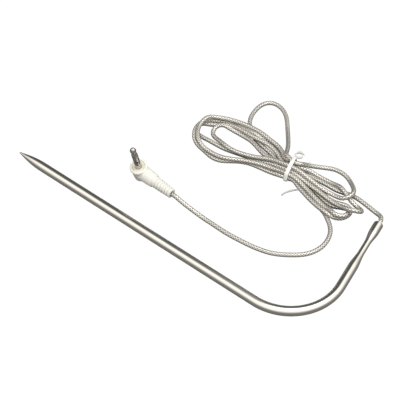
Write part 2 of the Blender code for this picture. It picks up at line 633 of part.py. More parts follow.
def make_tie(white, wire):
    """A flat plastic ribbon round the hank with its wire inside, crossed and turned up at the top."""
    side = NECK_HALF_WIDTH + TIE_THICKNESS / 2 + 1.5 * FACE_GAP
    low = NECK_RISE - TIE_THICKNESS / 2 - FACE_GAP
    high = NECK_TOP + TIE_THICKNESS / 2 + FACE_GAP
    middle = (low + high) / 2
    route = [(3.6 * MM, 3.2 * MM, high + 0.5 * MM), (2.4 * MM, 3.0 * MM, high + 2.0 * MM)]
    route += [(1.3 * MM, 1.8 * MM, high + 1.2 * MM), (1 * MM, 0.4 * MM, high + 0.2 * MM)]
    corner = 1.0 * MM
    ring = [(-side + corner, high), (-side, high - corner), (-side, middle), (-side, low + corner)]
    ring += [(-side + corner, low), (0, low), (side - corner, low), (side, low + corner), (side, middle)]
    ring += [(side, high - corner), (side - 0.6 * MM, high + 0.4 * MM)]
    for step, (y, z) in enumerate(ring):
        route.append(((0.9 - 1.8 * step / (len(ring) - 1)) * MM, y, z))
    route += [(-1.5 * MM, side - 0.2 * MM, high + 1.8 * MM), (-2.6 * MM, side + 1.2 * MM, high + 2.2 * MM)]
    points = smooth_points([neck_frame() @ Vector(point) for point in route], 0.7 * TIE_WIDTH)
    stations = []
    wire_stations = []
    hank_way = neck_frame().to_3x3() @ Vector((1, 0, 0))
    for index, point in enumerate(points):
        ahead = points[min(index + 1, len(points) - 1)] - points[max(index - 1, 0)]
        ahead.normalize()
        across = (hank_way - ahead * hank_way.dot(ahead)).normalized()
        frame = Matrix((across, ahead.cross(across), ahead)).transposed().to_4x4()
        frame.translation = point
        stations.append((frame, (TIE_WIDTH / 2, TIE_THICKNESS / 2)))
        wire_stations.append((frame, TIE_WIRE_RADIUS))
    bore = TIE_WIRE_RADIUS + 2 * NEST_GAP
    hollow = [(frame, bore) for frame, _ in reversed(stations)]
    skin("twist_tie", stations + hollow, white, sides=10, bore=True)
    skin("tie_wire", wire_stations, wire, sides=10)


def build():
    clear_scene()
    steel = finish("polished_steel", (0.62, 0.6, 0.57), 0.18, 1.0)
    braid = finish("braided_steel", (0.6, 0.58, 0.55), 0.38, 1.0)
    nickel = finish("nickel", (0.6, 0.58, 0.54), 0.15, 1.0)
    copper = finish("tinned_copper", (0.62, 0.6, 0.58), 0.3, 1.0)
    white = finish("white_plastic", (0.88, 0.87, 0.83), 0.4)
    cream = finish("cream_plastic", (0.8, 0.72, 0.58), 0.45)
    black = finish("black_plastic", (0.02, 0.02, 0.02), 0.4)
    tie_white = finish("tie_plastic", (0.9, 0.9, 0.88), 0.35)
    liner = finish("clear_liner", (0.8, 0.78, 0.84), 0.25)
    insulation = finish("wire_insulation", (0.85, 0.84, 0.8), 0.4)
    varnish = finish("varnished_sleeve", (0.75, 0.5, 0.2), 0.35)
    shrink = finish("shrink_sleeve", (0.05, 0.05, 0.05), 0.5)
    ceramic = finish("ceramic_filler", (0.75, 0.73, 0.68), 0.8)
    glass = finish("bead_glass", (0.35, 0.18, 0.08), 0.12)

    make_probe_tube(steel)
    make_sensor(ceramic, glass, copper, varnish)
    make_splices(copper, shrink)
    make_core_wires(insulation)
    make_cable_entry(braid, liner)

    seat = make_plug_seat()
    flange_top = make_plug_body(seat, white, cream)
    wire_top = make_contacts(seat, flange_top, nickel, black)
    make_plug_wiring(seat, wire_top, copper, insulation, braid)

    make_cable(seat, braid)
    make_hank(braid)
    make_tie(tie_white, copper)


build()
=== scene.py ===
from math import cos, pi, radians, sin, sqrt

import bpy
import numpy as np
from mathutils import Matrix, Vector


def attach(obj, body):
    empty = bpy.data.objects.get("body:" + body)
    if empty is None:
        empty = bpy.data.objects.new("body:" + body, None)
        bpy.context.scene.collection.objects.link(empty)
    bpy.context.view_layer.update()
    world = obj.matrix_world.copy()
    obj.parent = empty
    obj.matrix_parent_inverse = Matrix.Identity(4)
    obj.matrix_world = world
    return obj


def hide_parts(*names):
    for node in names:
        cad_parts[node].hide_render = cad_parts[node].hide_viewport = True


MM = 0.001

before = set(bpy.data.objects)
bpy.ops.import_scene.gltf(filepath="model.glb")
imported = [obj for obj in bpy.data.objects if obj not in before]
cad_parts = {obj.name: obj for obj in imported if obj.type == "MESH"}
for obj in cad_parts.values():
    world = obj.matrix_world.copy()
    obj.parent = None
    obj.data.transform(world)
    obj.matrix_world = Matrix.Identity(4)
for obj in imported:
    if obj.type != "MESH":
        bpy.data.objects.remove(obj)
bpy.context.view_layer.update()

# Sizes, in millimetres
TUBE_RADIUS = 1.9
TUBE_WALL = 0.35
NOSE_TIP = -69.2
NOSE_LENGTH = 12.6
NOSE_FLAT = 0.06
NOSE_ROUND = 0.34
SOLID_NOSE = 6.3
TUBE_Y = -28.178  # the straight run's axis
BEND_START = 46.3
BEND_RADIUS = 21.0
BEND_ANGLE = radians(99)
LEG_LENGTH = 33.4
LEG_START = (67.041, -3.893, 1.9)
CRIMP_RADIUS = 1.26
CRIMP_START, CRIMP_NECK, CRIMP_NECK_END, CRIMP_END = 10.0, 18.2, 23.0, 29.5
MOUTH_ROLL = 0.3
LINER_SHOWS = 0.8
CABLE_RADIUS = 0.9
TIE_PLACE = np.array([19.87, 30.03])
TIE_TURN = radians(17)
PLUG_PLACE = (-24.4, -7.6, 4.281)  # where the pin's axis crosses the boot's
PLUG_HEADING = radians(-4.8)
PLUG_ROLL = radians(12.5)


# ---------------------------------------------------------------- shaders


class Wire:
    """A node's output that takes part in sums, as a number would."""

    def __init__(self, shader, socket):
        self.shader = shader
        self.socket = socket

    def __add__(self, other):
        return self.shader.maths("ADD", self, other)

    def __radd__(self, other):
        return self.shader.maths("ADD", other, self)

    def __sub__(self, other):
        return self.shader.maths("SUBTRACT", self, other)

    def __rsub__(self, other):
        return self.shader.maths("SUBTRACT", other, self)

    def __mul__(self, other):
        return self.shader.maths("MULTIPLY", self, other)

    def __rmul__(self, other):
        return self.shader.maths("MULTIPLY", other, self)


class Shader:
    """A material and its one Principled BSDF, to which nodes are added by name."""

    def __init__(self, name, colour, roughness, metallic=0.0, **fixed):
        self.material = bpy.data.materials.new(name)
        self.material.use_nodes = True
        self.tree = self.material.node_tree
        self.tree.nodes.clear()
        self.surface = self.tree.nodes.new("ShaderNodeBsdfPrincipled")
        self.output = self.tree.nodes.new("ShaderNodeOutputMaterial")
        self.tree.links.new(self.surface.outputs[0], self.output.inputs[0])
        self.set("Base Color", colour)
        self.set("Roughness", roughness)
        self.set("Metallic", metallic)
        for socket, value in fixed.items():
            self.set(socket.replace("_", " "), value)

    def feed(self, node, socket, value):
        target = node.inputs[socket]
        if isinstance(value, Wire):
            self.tree.links.new(value.socket, target)
        elif isinstance(value, tuple) and len(value) == 3 and target.type == "RGBA":
            target.default_value = (*value, 1.0)
        else:
            target.default_value = value

    def set(self, socket, value):
        self.feed(self.surface, socket, value)

    def node(self, kind, settings=None, output=0, **sockets):
        """Any node: its settings are set before its sockets, which are named, or numbered as in_0."""
        new = self.tree.nodes.new("ShaderNode" + kind)
        for setting, value in (settings or {}).items():
            setattr(new, setting, value)
        for socket, value in sockets.items():
            key = int(socket[3:]) if socket.startswith("in_") else socket.replace("_", " ")
            self.feed(new, key, value)
        return Wire(self, new.outputs[output])

    def maths(self, operation, first, second=0.0):
        return self.node("Math", {"operation": operation}, in_0=first, in_1=second)

    def blend(self, factor, first, second):
        """From the first colour at 0 to the second at 1."""
        return self.node("Mix", {"data_type": "RGBA"}, output=2, in_0=factor, in_6=first, in_7=second)

    def between(self, value, low, high):
        """0 below low and 1 above high, eased between them."""
        settings = {"interpolation_type": "SMOOTHSTEP"}
        return self.node("MapRange", settings, in_0=value, in_1=low, in_2=high, in_3=0.0, in_4=1.0)

    def place(self):
        return self.node("TexCoord", output=3)

    def way(self, name):
        """A piece's own map: how far along it, and turns round it."""
        return self.node("UVMap", {"uv_map": name})

    def stretch(self, vector, scale):
        return self.node("Mapping", in_0=vector, in_3=scale)

    def noise(self, vector, scale, detail=4.0, roughness=0.5):
        return self.node("TexNoise", Vector=vector, Scale=scale, Detail=detail, Roughness=roughness)

    def axis(self, vector, name):
        return self.node("SeparateXYZ", output="XYZ".index(name), in_0=vector)

    def bump(self, height, distance, strength=1.0):
        self.set("Normal", self.node("Bump", Height=height, Distance=distance, Strength=strength))


# ---------------------------------------------------------------- finishes


def drawn_steel():
    """Polished tube, with faint drawing lines along it and the odd rub mark."""
    shader = Shader("polished_drawn_steel", (0.8, 0.77, 0.72), 0.14, 1.0)
    way = shader.way("along_and_round")
    lines = shader.noise(shader.stretch(way, (0.05, 38.0, 1.0)), 1.0, 3.0)
    clouds = shader.noise(shader.place(), 160.0, 3.0)
    rubs = shader.noise(shader.stretch(way, (0.9, 11.0, 1.0)), 1.0, 5.0, 0.7)
    marks = shader.between(rubs, 0.62, 0.78)
    shader.set("Base Color", shader.blend(clouds, (0.76, 0.73, 0.68), (0.85, 0.82, 0.77)))
    shader.set("Roughness", 0.1 + 0.07 * lines + 0.06 * clouds + 0.09 * marks)
    shader.bump(lines * 0.6 + marks * 0.3, 0.000001, 0.4)
    return shader


def braided_steel():
    """Carriers of fine wire each way, over and under each other; one way is painted lighter and the other
    darker, and painted shade darkens the grooves between wires, the carriers' edges and, near black, the
    gaps where four meet.
    """
    shader = Shader("braided_steel", (0.8, 0.78, 0.74), 0.34, 0.85)
    way = shader.way("along_and_round")
    along = shader.axis(way, "X")
    turns = shader.axis(way, "Y") * float(CARRIERS)
    first = along + turns
    second = along - turns
    gaps = shader.maths("COSINE", along * (2 * pi)) * shader.maths("COSINE", turns * (2 * pi))
    # the gaps where four carriers meet; further down, their colour is painted near-black shade
    gap_and_painted_shade_mask = shader.between(gaps, 0.25, 0.75)
    odd = shader.maths("FLOORED_MODULO", shader.maths("FLOOR", first) + shader.maths("FLOOR", second), 2.0)
    wires = []
    swells = []
    for phase in (first, second):
        wires.append(shader.maths("ABSOLUTE", shader.maths("SINE", phase * (pi * WIRES_EACH))))
        swells.append(shader.maths("ABSOLUTE", shader.maths("SINE", phase * pi)))
    wire = wires[0] * (1.0 - odd) + wires[1] * odd
    swell = swells[0] * (1.0 - odd) + swells[1] * odd
    height = shader.maths("POWER", swell, 0.5) * 0.6 + wire * 0.3 + (1.0 - gap_and_painted_shade_mask) * 0.5
    dust = shader.noise(shader.place(), 900.0, 2.0)
    # painted light: the carriers running one way are painted lighter, those running the other way darker
    painted_lit_and_shaded = shader.blend(odd, (0.92, 0.9, 0.86), (0.7, 0.68, 0.63))
    wear_and_painted_light = shader.blend(dust * 0.5, painted_lit_and_shaded, (0.7, 0.65, 0.57))
    # painted shade in the grooves between the wires
    painted_groove_shade = shader.blend(shader.between(wire, 0.35, 0.0), wear_and_painted_light, (0.42, 0.39, 0.35))
    # painted shade towards each carrier's edges, where it dives under its neighbour
    painted_edge_shade = shader.blend(shader.between(swell, 0.5, 0.05) * 0.85, painted_groove_shade, (0.15, 0.135, 0.12))
    # painted shade: near black in the gaps where four carriers meet
    shader.set("Base Color", shader.blend(gap_and_painted_shade_mask, painted_edge_shade, (0.02, 0.018, 0.016)))
    shader.set("Metallic", 0.7 - 0.5 * gap_and_painted_shade_mask)
    shader.set("Roughness", 0.3 + 0.12 * dust + 0.25 * gap_and_painted_shade_mask)
    shader.bump(height, 0.00005, 0.6)
    return shader


def moulded(name, colour, dark, roughness, grain=1900.0, depth=0.0000012, **fixed):
    """Moulded plastic: a fine satin grain, and a slow drift of colour where the flow met."""
    shader = Shader(name, colour, roughness, 0.0, **fixed)
    drift = shader.noise(shader.place(), 170.0, 3.0)
    fine = shader.noise(shader.place(), grain, 2.0)
    shader.set("Base Color", shader.blend(drift, colour, dark))
    shader.set("Roughness", roughness - 0.05 + 0.12 * fine)
    shader.bump(fine, depth, 0.6)
    return shader


def turned_nickel(name, colour, roughness):
    """Plated contact with lathe rings round the pin and small wipe marks."""
    shader = Shader(name, colour, roughness, 1.0)
    place = shader.place()
    rings = shader.noise(shader.stretch(place, (160.0, 160.0, 2600.0)), 1.0, 2.0)
    strokes = shader.noise(shader.stretch(place, (2400.0, 2400.0, 260.0)), 1.0, 4.0)
    wipe = shader.between(strokes, 0.55, 0.75)
    warm = tuple(value * factor for value, factor in zip(colour, (0.92, 0.84, 0.7)))
    shader.set("Base Color", shader.blend(wipe * 0.6, colour, warm))
    shader.set("Roughness", roughness + 0.08 * rings + 0.1 * wipe)
    shader.bump(rings, 0.0000005, 0.3)
    return shader


def fine_grained(name, colour, roughness, metallic=0.0, scale=900.0):
    """A plain inner piece: a little grain, and a little change of tone."""
    shader = Shader(name, colour, roughness, metallic)
    grain = shader.noise(shader.place(), scale, 4.0)
    shade = tuple(value * 0.78 for value in colour)
    shader.set("Base Color", shader.blend(grain, colour, shade))
    shader.set("Roughness", roughness - 0.06 + 0.14 * grain)
    shader.bump(grain, 0.000003, 0.5)
    return shader


def dress(shader, *nodes):
    for node in nodes:
        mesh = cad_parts[node].data
        mesh.materials.clear()
        mesh.materials.append(shader.material)


# ---------------------------------------------------------------- making pieces by hand


def open_circle(name, radius, sides, turn=None, spot=(0, 0, 0)):
    """A new circle, all of it selected, in edit mode."""
    bpy.ops.object.select_all(action="DESELECT")
    bpy.ops.mesh.primitive_circle_add(
        vertices=sides,
        radius=radius * MM,
        location=[value * MM for value in spot],
        rotation=turn or (0, 0, 0),
    )
    piece = bpy.context.object
    piece.name = name
    piece.data.name = name
    bpy.ops.object.mode_set(mode="EDIT")
    bpy.ops.mesh.select_mode(type="VERT")
    bpy.ops.mesh.select_all(action="SELECT")
    return piece


def pull(move, growth=1.0, centre=(0, 0, 0)):
    """Extrudes the selected ring by a move, and scales the new ring about a point."""
    bpy.ops.mesh.extrude_region_move(TRANSFORM_OT_translate={"value": [value * MM for value in move]})
    if growth != 1.0:
        bpy.ops.transform.resize(value=(growth,) * 3, center_override=[value * MM for value in centre])


def close_up(piece, bore=False, turn=None):
    """Closes the ends, or joins the last ring to the first, and turns the faces outwards."""
    bpy.ops.mesh.select_all(action="SELECT")
    if bore:
        bpy.ops.mesh.remove_doubles(threshold=0.0000005)
    else:
        bpy.ops.mesh.fill_holes(sides=0)
    bpy.ops.mesh.normals_make_consistent(inside=False)
    bpy.ops.object.mode_set(mode="OBJECT")
    if turn is not None:
        piece.matrix_world = turn @ piece.matrix_world
    settle_place(piece)
    return piece


def settle_place(piece):
    bpy.ops.object.select_all(action="DESELECT")
    piece.select_set(True)
    bpy.context.view_layer.objects.active = piece
    bpy.ops.object.transform_apply(location=True, rotation=True, scale=True)


def turned(name, profile, sides=64, bore=False, turn=None):
    """A piece turned about Z from its (place, radius) pairs, then set at its place."""
    (start, first), *rest = profile
    piece = open_circle(name, first, sides, spot=(0, 0, start))
    before = (start, first)
    for place, radius in rest:
        pull((0, 0, place - before[0]), radius / before[1], (0, 0, place))
        before = (place, radius)
    return close_up(piece, bore, turn)


def apply(piece, kind, **settings):
    """Adds a modifier and applies it."""
    bpy.ops.object.select_all(action="DESELECT")
    piece.select_set(True)
    bpy.context.view_layer.objects.active = piece
    modifier = piece.modifiers.new(kind.lower(), kind)
    for setting, value in settings.items():
        setattr(modifier, setting, value)
    bpy.ops.object.modifier_apply(modifier=modifier.name)


def smooth(piece, angle=40):
    bpy.ops.object.select_all(action="DESELECT")
    piece.select_set(True)
    bpy.context.view_layer.objects.active = piece
    bpy.ops.object.shade_smooth_by_angle(angle=radians(angle))


def finish_piece(piece, shader, slot, *nodes):
    """Gives a piece its finish and its body, and hides the nodes that it stands for."""
    piece.data.materials.clear()
    piece.data.materials.append(shader.material)
    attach(piece, "root")
    if nodes:
        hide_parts(*nodes)


def new_mesh(name, points, faces, way=None):
    """A mesh piece from its points in millimetres, with its map where it has one."""
    mesh = bpy.data.meshes.new(name)
    mesh.from_pydata((np.asarray(points) * MM).tolist(), [], faces)
    if way is not None:
        layer = mesh.uv_layers.new(name="along_and_round")
        layer.data.foreach_set("uv", np.asarray(way, np.float32).ravel())
    mesh.validate()
    mesh.shade_smooth()
    piece = bpy.data.objects.new(name, mesh)
    bpy.context.scene.collection.objects.link(piece)
    return piece


# ---------------------------------------------------------------- the cable

CARRIERS = 5  # of the braid, each way round
WIRES_EACH = 5
WEAVE = 1.15  # length of one turn of the weave along the cable
RELIEF = 0.035
SIDES = 24
RING_STEP = 0.25
TIGHTEST = 3.4  # radius of the hank's folds

# Each run of the cable, from the probe to the plug
ROUTE = {
    "mouth": [
        (61.7, 29.9, 1.9), (61.6, 30.5, 1.9), (61.3, 31.4, 1.87), (60.8, 32.3, 1.76), (60.1, 33, 1.58),
    ],
    "from_the_probe": [
        (53.6, 34.6, 1.05), (49.9, 35.2, 0.95), (47.5, 35.4, 0.95), (44.5, 35.2, 0.95), (41.4, 34.5, 0.95),
        (38.4, 34.2, 0.95), (35.2, 34, 0.95), (32.1, 33.8, 0.95), (28.5, 33.6, 1), (25, 33.4, 1.2),
        (22.4, 32.8, 1.6), (18.8, 33.4, 1.89),
    ],
    "left_1": [
        (13.6, 34.5, 1.8), (9, 36.1, 1.6), (3.7, 36.8, 1.9), (-0.8, 36.7, 2.5), (-3.9, 36.6, 2.8),
        (-7.1, 36.7, 2.5), (-11.1, 36.9, 1.6), (-15.3, 36.4, 0.95), (-18.8, 34.4, 1.2), (-20.6, 32.2, 1.7),
        (-21.9, 30.1, 2.2), (-22.7, 28.2, 2.5), (-22.8, 26.2, 2.6), (-22.3, 24.1, 2.7), (-21.3, 22.1, 2.6),
        (-20, 20.6, 2.3), (-18.5, 19.6, 1.9), (-16.9, 19.1, 1.5), (-15.2, 18.8, 1.2), (-12.8, 18.4, 1),
        (-10.1, 17.7, 0.95), (-7.5, 17.6, 0.95), (-5.2, 18.2, 0.95), (-2.1, 20.1, 0.95), (1.1, 22.3, 0.95),
        (5, 24, 1), (9.4, 24.9, 1.2), (13.5, 25.4, 1.5), (17.5, 25.9, 1.9), (20.9, 26.5, 2),
    ],
    "right_1": [
        (25.2, 26.9, 1.9), (27.5, 26, 2), (31, 24.8, 2.3), (34.1, 23.6, 2.4), (37.1, 22.6, 2.7),
        (39.9, 21.8, 2.8), (42.6, 21.3, 2.8), (45, 21, 2.7), (47.2, 21.6, 2.2), (48.8, 23.1, 1.5),
        (49.6, 25.5, 1), (49.3, 27.7, 0.95), (47.8, 28.9, 0.95), (45.9, 28.7, 0.95), (43.5, 28.1, 0.95),
        (40.5, 28.2, 0.95), (37.1, 28.9, 0.95), (34, 29.6, 0.95), (31.3, 30.1, 0.98), (28.6, 30.6, 1.3),
        (25.7, 31, 1.6), (19.3, 32, 2.02),
    ],
    "left_2": [
        (14.3, 33.5, 2.2), (10.5, 34.6, 2.5), (5.9, 35.5, 2.9), (0.7, 35.5, 3.2), (-3.7, 35.5, 3),
        (-8.8, 35.2, 2.6), (-13.1, 34.4, 2.4), (-16.5, 32.8, 2.2), (-20, 31.4, 1.6), (-22.6, 30.1, 1.2),
        (-23.7, 28.2, 1), (-23.2, 25.9, 0.95), (-21.7, 24.2, 0.95), (-20, 23.8, 0.95), (-18, 23.8, 0.95),
        (-15.5, 23.9, 0.95), (-12.9, 23.9, 0.95), (-10.4, 24.1, 0.95), (-7.4, 24.3, 0.95),
        (-4.3, 24.8, 0.95), (-1.3, 25.4, 0.95), (1.6, 26.2, 1), (4.6, 26.7, 1.4), (8.2, 27.5, 2.2),
        (13, 28.3, 3.1), (20.2, 29, 3.58),
    ],
    "right_2": [
        (24.6, 29, 3.6), (27.1, 28.8, 3.3), (30, 28.5, 3), (33, 28, 2.9), (35.9, 27.6, 2.85),
        (38.9, 27.1, 2.8), (41.7, 26.7, 2.8), (44.3, 26.6, 3), (46.8, 26.6, 3.6), (49.6, 26.7, 4.4),
        (52.3, 26.9, 5.2), (53.8, 27.7, 5), (53.6, 29.3, 3.6), (52.1, 30.7, 2.1), (50, 31.5, 1.6),
        (48, 31.8, 2.3), (46, 32.5, 2.75), (43.9, 33.5, 2.75), (39.6, 34.7, 2), (35.9, 35.4, 1.2),
        (32.6, 35.3, 1.1), (29.5, 35, 1.5), (26.6, 34.4, 2.1), (23.7, 33.5, 2.9), (22.1, 32.5, 3.5),
        (18.9, 33.3, 3.58),
    ],
    "left_3": [
        (13.9, 35.3, 3.4), (10, 37, 3.2), (4.2, 37.9, 3.2), (-1.3, 38.3, 3.3), (-6.5, 38.3, 3.1),
        (-11.1, 37.8, 3), (-15.1, 36.5, 3.3), (-18.8, 34.4, 3.5), (-21, 32.6, 3.7), (-21.9, 30.4, 3.9),
        (-21.9, 28.1, 4.1), (-21.7, 26.3, 4.3), (-21.2, 24.8, 4.4), (-20.3, 23.2, 4.4), (-19.1, 21.4, 4.4),
        (-17.6, 20, 4.3), (-16.2, 19.1, 4.1), (-14.7, 18.5, 3.7), (-12.7, 18.2, 3.2), (-10, 18.1, 2.9),
        (-7, 18.3, 2.8), (-4.3, 18.8, 2.8), (-1.1, 20.5, 2.75), (2.5, 22.7, 2.6), (6.5, 24.2, 2.6),
        (10.6, 25.5, 2.7), (15, 26.5, 3.1), (20.8, 27.1, 3.49),
    ],
    "right_3": [
        (25.1, 26.9, 3.4), (28.1, 26.3, 3), (31.2, 25.4, 2.8), (34.6, 24.3, 2.8), (37.9, 23.3, 2.8),
        (41, 22.6, 2.8), (43.6, 22.5, 2.8), (46, 22.8, 2.9), (48.3, 23.2, 3.3), (50, 23.8, 3.7),
        (50.7, 25.2, 3.5), (50.1, 26.8, 2.6), (48.7, 27.7, 1.5), (47, 27.3, 0.95), (44.6, 26.5, 0.95),
        (41.8, 26.4, 0.95), (38.6, 26.7, 0.95), (35.4, 27.6, 0.95), (32.2, 28.4, 1.2), (28.6, 29.2, 1.8),
        (25.6, 29.6, 2.6), (19.7, 30.5, 3.37),
    ],
    "left_4": [
        (13.9, 30.6, 3.4), (11.5, 30.3, 3.1), (8.5, 30.3, 2.8), (5.1, 31.1, 2.6), (1.2, 32.6, 2.4),
        (-2.4, 33.8, 2.2), (-5.4, 34.4, 2.2), (-8.5, 34.5, 2.3), (-12.6, 33.7, 2.3), (-15.2, 32.9, 2.3),
        (-16.9, 31.9, 2.2), (-17.4, 30.5, 2), (-16.6, 28.9, 1.8), (-15.3, 27.7, 1.7), (-13.4, 26.6, 1.9),
        (-11, 25.5, 2.3), (-8.5, 24.6, 2.7), (-6, 24.3, 2.8), (-3.4, 24.5, 2.8), (-0.4, 25.1, 2.8),
        (2.7, 26, 2.8), (6.4, 27.1, 3.1), (10.2, 28.4, 3.8), (13.5, 29.3, 4.5), (19.9, 29.8, 5.01),
    ],
    "right_4": [
        (24, 29.7, 5), (26.3, 29.7, 4.7), (29, 29.7, 4.3), (31.7, 29.7, 3.9), (34.4, 29.6, 3.5),
        (36.9, 29.8, 3.1), (39.4, 30, 2.9), (41.8, 30.4, 2.8), (44.1, 30.7, 3.3), (45.9, 31.2, 4.3),
        (46.5, 32.9, 4.6), (45.8, 35.4, 4), (43.9, 38.2, 2.8), (41.6, 40.3, 1.7), (39, 41.9, 1),
        (36.3, 42.4, 0.95), (33.5, 42.3, 0.95), (30.8, 41.3, 1.2), (28.3, 39.5, 1.9), (26.2, 37.6, 2.7),
        (24.3, 35.5, 3.6), (22.6, 33.6, 4.5), (21.1, 32.3, 5.1), (19, 32.9, 5.09),
    ],
    "thin_loop": [
        (17.4, 34.4, 4.9), (15.1, 36.7, 4.2), (12.6, 39.5, 3.4), (10.3, 42.4, 2.6), (7.5, 46.1, 1.8),
        (5, 49.2, 1.2), (2.4, 52.4, 0.95), (-0.4, 54.9, 0.95), (-3.6, 56.3, 0.95), (-6.6, 56.5, 0.95),
        (-8.7, 55.6, 0.95), (-10.1, 53.5, 0.95), (-10.6, 50.5, 0.95), (-10.4, 47, 0.95), (-9.5, 44, 0.95),
        (-8.2, 41.5, 0.95), (-6.3, 39.6, 0.95), (-3.8, 37.8, 0.95), (-0.5, 35.9, 0.95), (4.1, 34.4, 0.95),
        (8.2, 33.5, 1.1), (11.8, 32.9, 1.4), (14.6, 32.7, 1.7), (19.9, 29.8, 1.86),
    ],
    "to_the_plug": [
        (23.6, 27.8, 1.55), (26, 27.2, 1.5), (28.6, 26.6, 1.35), (31.7, 25.4, 1.05), (34.6, 24.1, 0.95),
        (37.6, 23.2, 0.95), (40.4, 22.4, 0.95), (42.8, 21.7, 0.95), (44.6, 20.6, 0.95), (49.4, 15.2, 0.95),
        (50.8, 10.5, 0.95), (50.6, 6.4, 0.95), (48.6, 1.8, 0.95), (44.4, -2.3, 0.95), (38.2, -6.2, 0.95),
        (32.4, -7.9, 0.95), (25.6, -8.8, 0.95), (18.6, -9.2, 0.95), (12.6, -9, 1.05), (7, -8.9, 1.6),
        (2, -9.1, 2.7), (-2, -9.3, 3.8),
    ],
    "boot": [
        (-5.9, -9.2, 4.28), (-7.1, -9.1, 4.28),
    ],
}


def flowing(points, steps=12):
    """A smooth curve through the points, which doesn't overshoot where they crowd."""
    ends = np.vstack([2 * points[0] - points[1], points, 2 * points[-1] - points[-2]])
    curve = []
    for a, b, c, d in zip(ends, ends[1:], ends[2:], ends[3:]):
        k1 = np.linalg.norm(b - a) ** 0.5
        k2 = k1 + np.linalg.norm(c - b) ** 0.5
        k3 = k2 + np.linalg.norm(d - c) ** 0.5
        for t in np.linspace(k1, k2, steps, endpoint=False):
            ab = ((k1 - t) * a + t * b) / k1
            bc = ((k2 - t) * b + (t - k1) * c) / (k2 - k1)
            cd = ((k3 - t) * c + (t - k2) * d) / (k3 - k2)
            left = ((k2 - t) * ab + t * bc) / k2
            right = ((k3 - t) * bc + (t - k1) * cd) / (k3 - k1)
            curve.append(((k2 - t) * left + (t - k1) * right) / (k2 - k1))
    return np.vstack([curve, points[-1:]])


def evenly(points, step):
    """The same line with its points a step apart."""
    gone = np.concatenate([[0.0], np.cumsum(np.linalg.norm(np.diff(points[:, :3], axis=0), axis=1))])
    places = np.linspace(0, gone[-1], int(round(gone[-1] / step)) + 1)
    return np.column_stack([np.interp(places, gone, column) for column in points.T])


def smeared(moves, width=1.8):
    """Spreads each point's move over its neighbours along the cable."""
    kernel = np.exp(-0.5 * (np.arange(-5, 6) / width) ** 2)
    kernel /= kernel.sum()
    return np.column_stack([np.convolve(moves[:, axis], kernel, mode="same") for axis in range(3)])


STIFFNESS, WEIGHT, HOLD = 0.22, 0.006, 0.012  # pull of a bend, of the ground and of the laid route
TIE_HALF_WIDTH = 3.75
TIE_HEIGHTS = (2.0, 5.3)
TIE_REACH = 2.2


def settle(points, rounds=500, apart=1.83, floor=0.93):
    """Lets the cable lie: stiff, heavy, off itself, on the table and held in by the tie."""
    start = points.copy()
    count = len(points)
    step = np.linalg.norm(np.diff(points, axis=0), axis=1).mean()
    free = np.ones((count, 1))
    free[:4] = 0
    free[-3:] = 0
    along = np.array([cos(TIE_TURN), sin(TIE_TURN)])
    across = np.array([-sin(TIE_TURN), cos(TIE_TURN)])
    for turn in range(rounds):
        if turn % 20 == 0:
            spread = ((points[:, None] - points[None]) ** 2).sum(-1)
            ones, others = np.where(np.triu(spread < 3.4**2, k=5))
        bend = np.zeros_like(points)
        bend[1:-1] = (points[:-2] + points[2:]) / 2 - points[1:-1]
        move = HOLD * (start - points)
        move[2:-2] += STIFFNESS * (bend[2:-2] - (bend[1:-3] + bend[3:-1]) / 2)
        move[:, 2] -= WEIGHT
        points = points + move * free

        between = points[others] - points[ones]
        gap = np.maximum(np.linalg.norm(between, axis=1), 1e-6)
        push = between * (np.maximum(apart - gap, 0) / gap * 0.5)[:, None]
        touching = (gap < apart).astype(float)
        move = np.zeros_like(points)
        share = np.zeros(count)
        for index, sign in ((ones, -1), (others, 1)):
            np.add.at(move, index, sign * push)
            np.add.at(share, index, touching)
        move /= np.maximum(share, 1)[:, None]
        points = points + (1.1 * smeared(move) + 0.25 * move) * free

        for reach in (2, 3, 4, 6):
            least = 2 * TIGHTEST * sin(min(reach * step / TIGHTEST, pi / 2))
            chord = points[2 * reach :] - points[: -2 * reach]
            length = np.linalg.norm(chord, axis=1)
            open_up = chord * (np.maximum(least - length, 0) / length * 0.2)[:, None]
            move = np.zeros_like(points)
            move[2 * reach :] += open_up
            move[: -2 * reach] -= open_up
            points = points + move * free
        for _ in range(2):
            link = points[1:] - points[:-1]
            length = np.linalg.norm(link, axis=1)
            pull_in = link * ((length - step) / length * 0.25)[:, None]
            move = np.zeros_like(points)
            move[:-1] += pull_in
            move[1:] -= pull_in
            points = points + move * free

        place = points[:, :2] - TIE_PLACE
        side = place @ across
        hold = np.exp(-((place @ along / TIE_REACH) ** 2)) * (np.abs(side) < 8)
        outside = np.maximum(np.abs(side) - TIE_HALF_WIDTH, 0) * np.sign(side)
        points[:, :2] -= (outside * hold * 0.5)[:, None] * across * free
        low, high = TIE_HEIGHTS
        lift = np.maximum(low - points[:, 2], 0) - np.maximum(points[:, 2] - high, 0)
        points[:, 2] += lift * hold * 0.5 * free[:, 0]
        points[:, 2] = np.where(free[:, 0] > 0, np.maximum(points[:, 2], floor), points[:, 2])
    return points


def carried_frames(points):
    """Each point's heading, and two directions round it that turn as little as they can."""
    heading = np.gradient(points, axis=0)
    heading /= np.linalg.norm(heading, axis=1)[:, None]
    side = np.cross(heading[0], (0.0, 0.0, 1.0))
    sides = []
    for way in heading:
        side = side - way * (side @ way)
        side /= np.linalg.norm(side)
        sides.append(side)
    sides = np.array(sides)
    return heading, sides, np.cross(heading, sides)


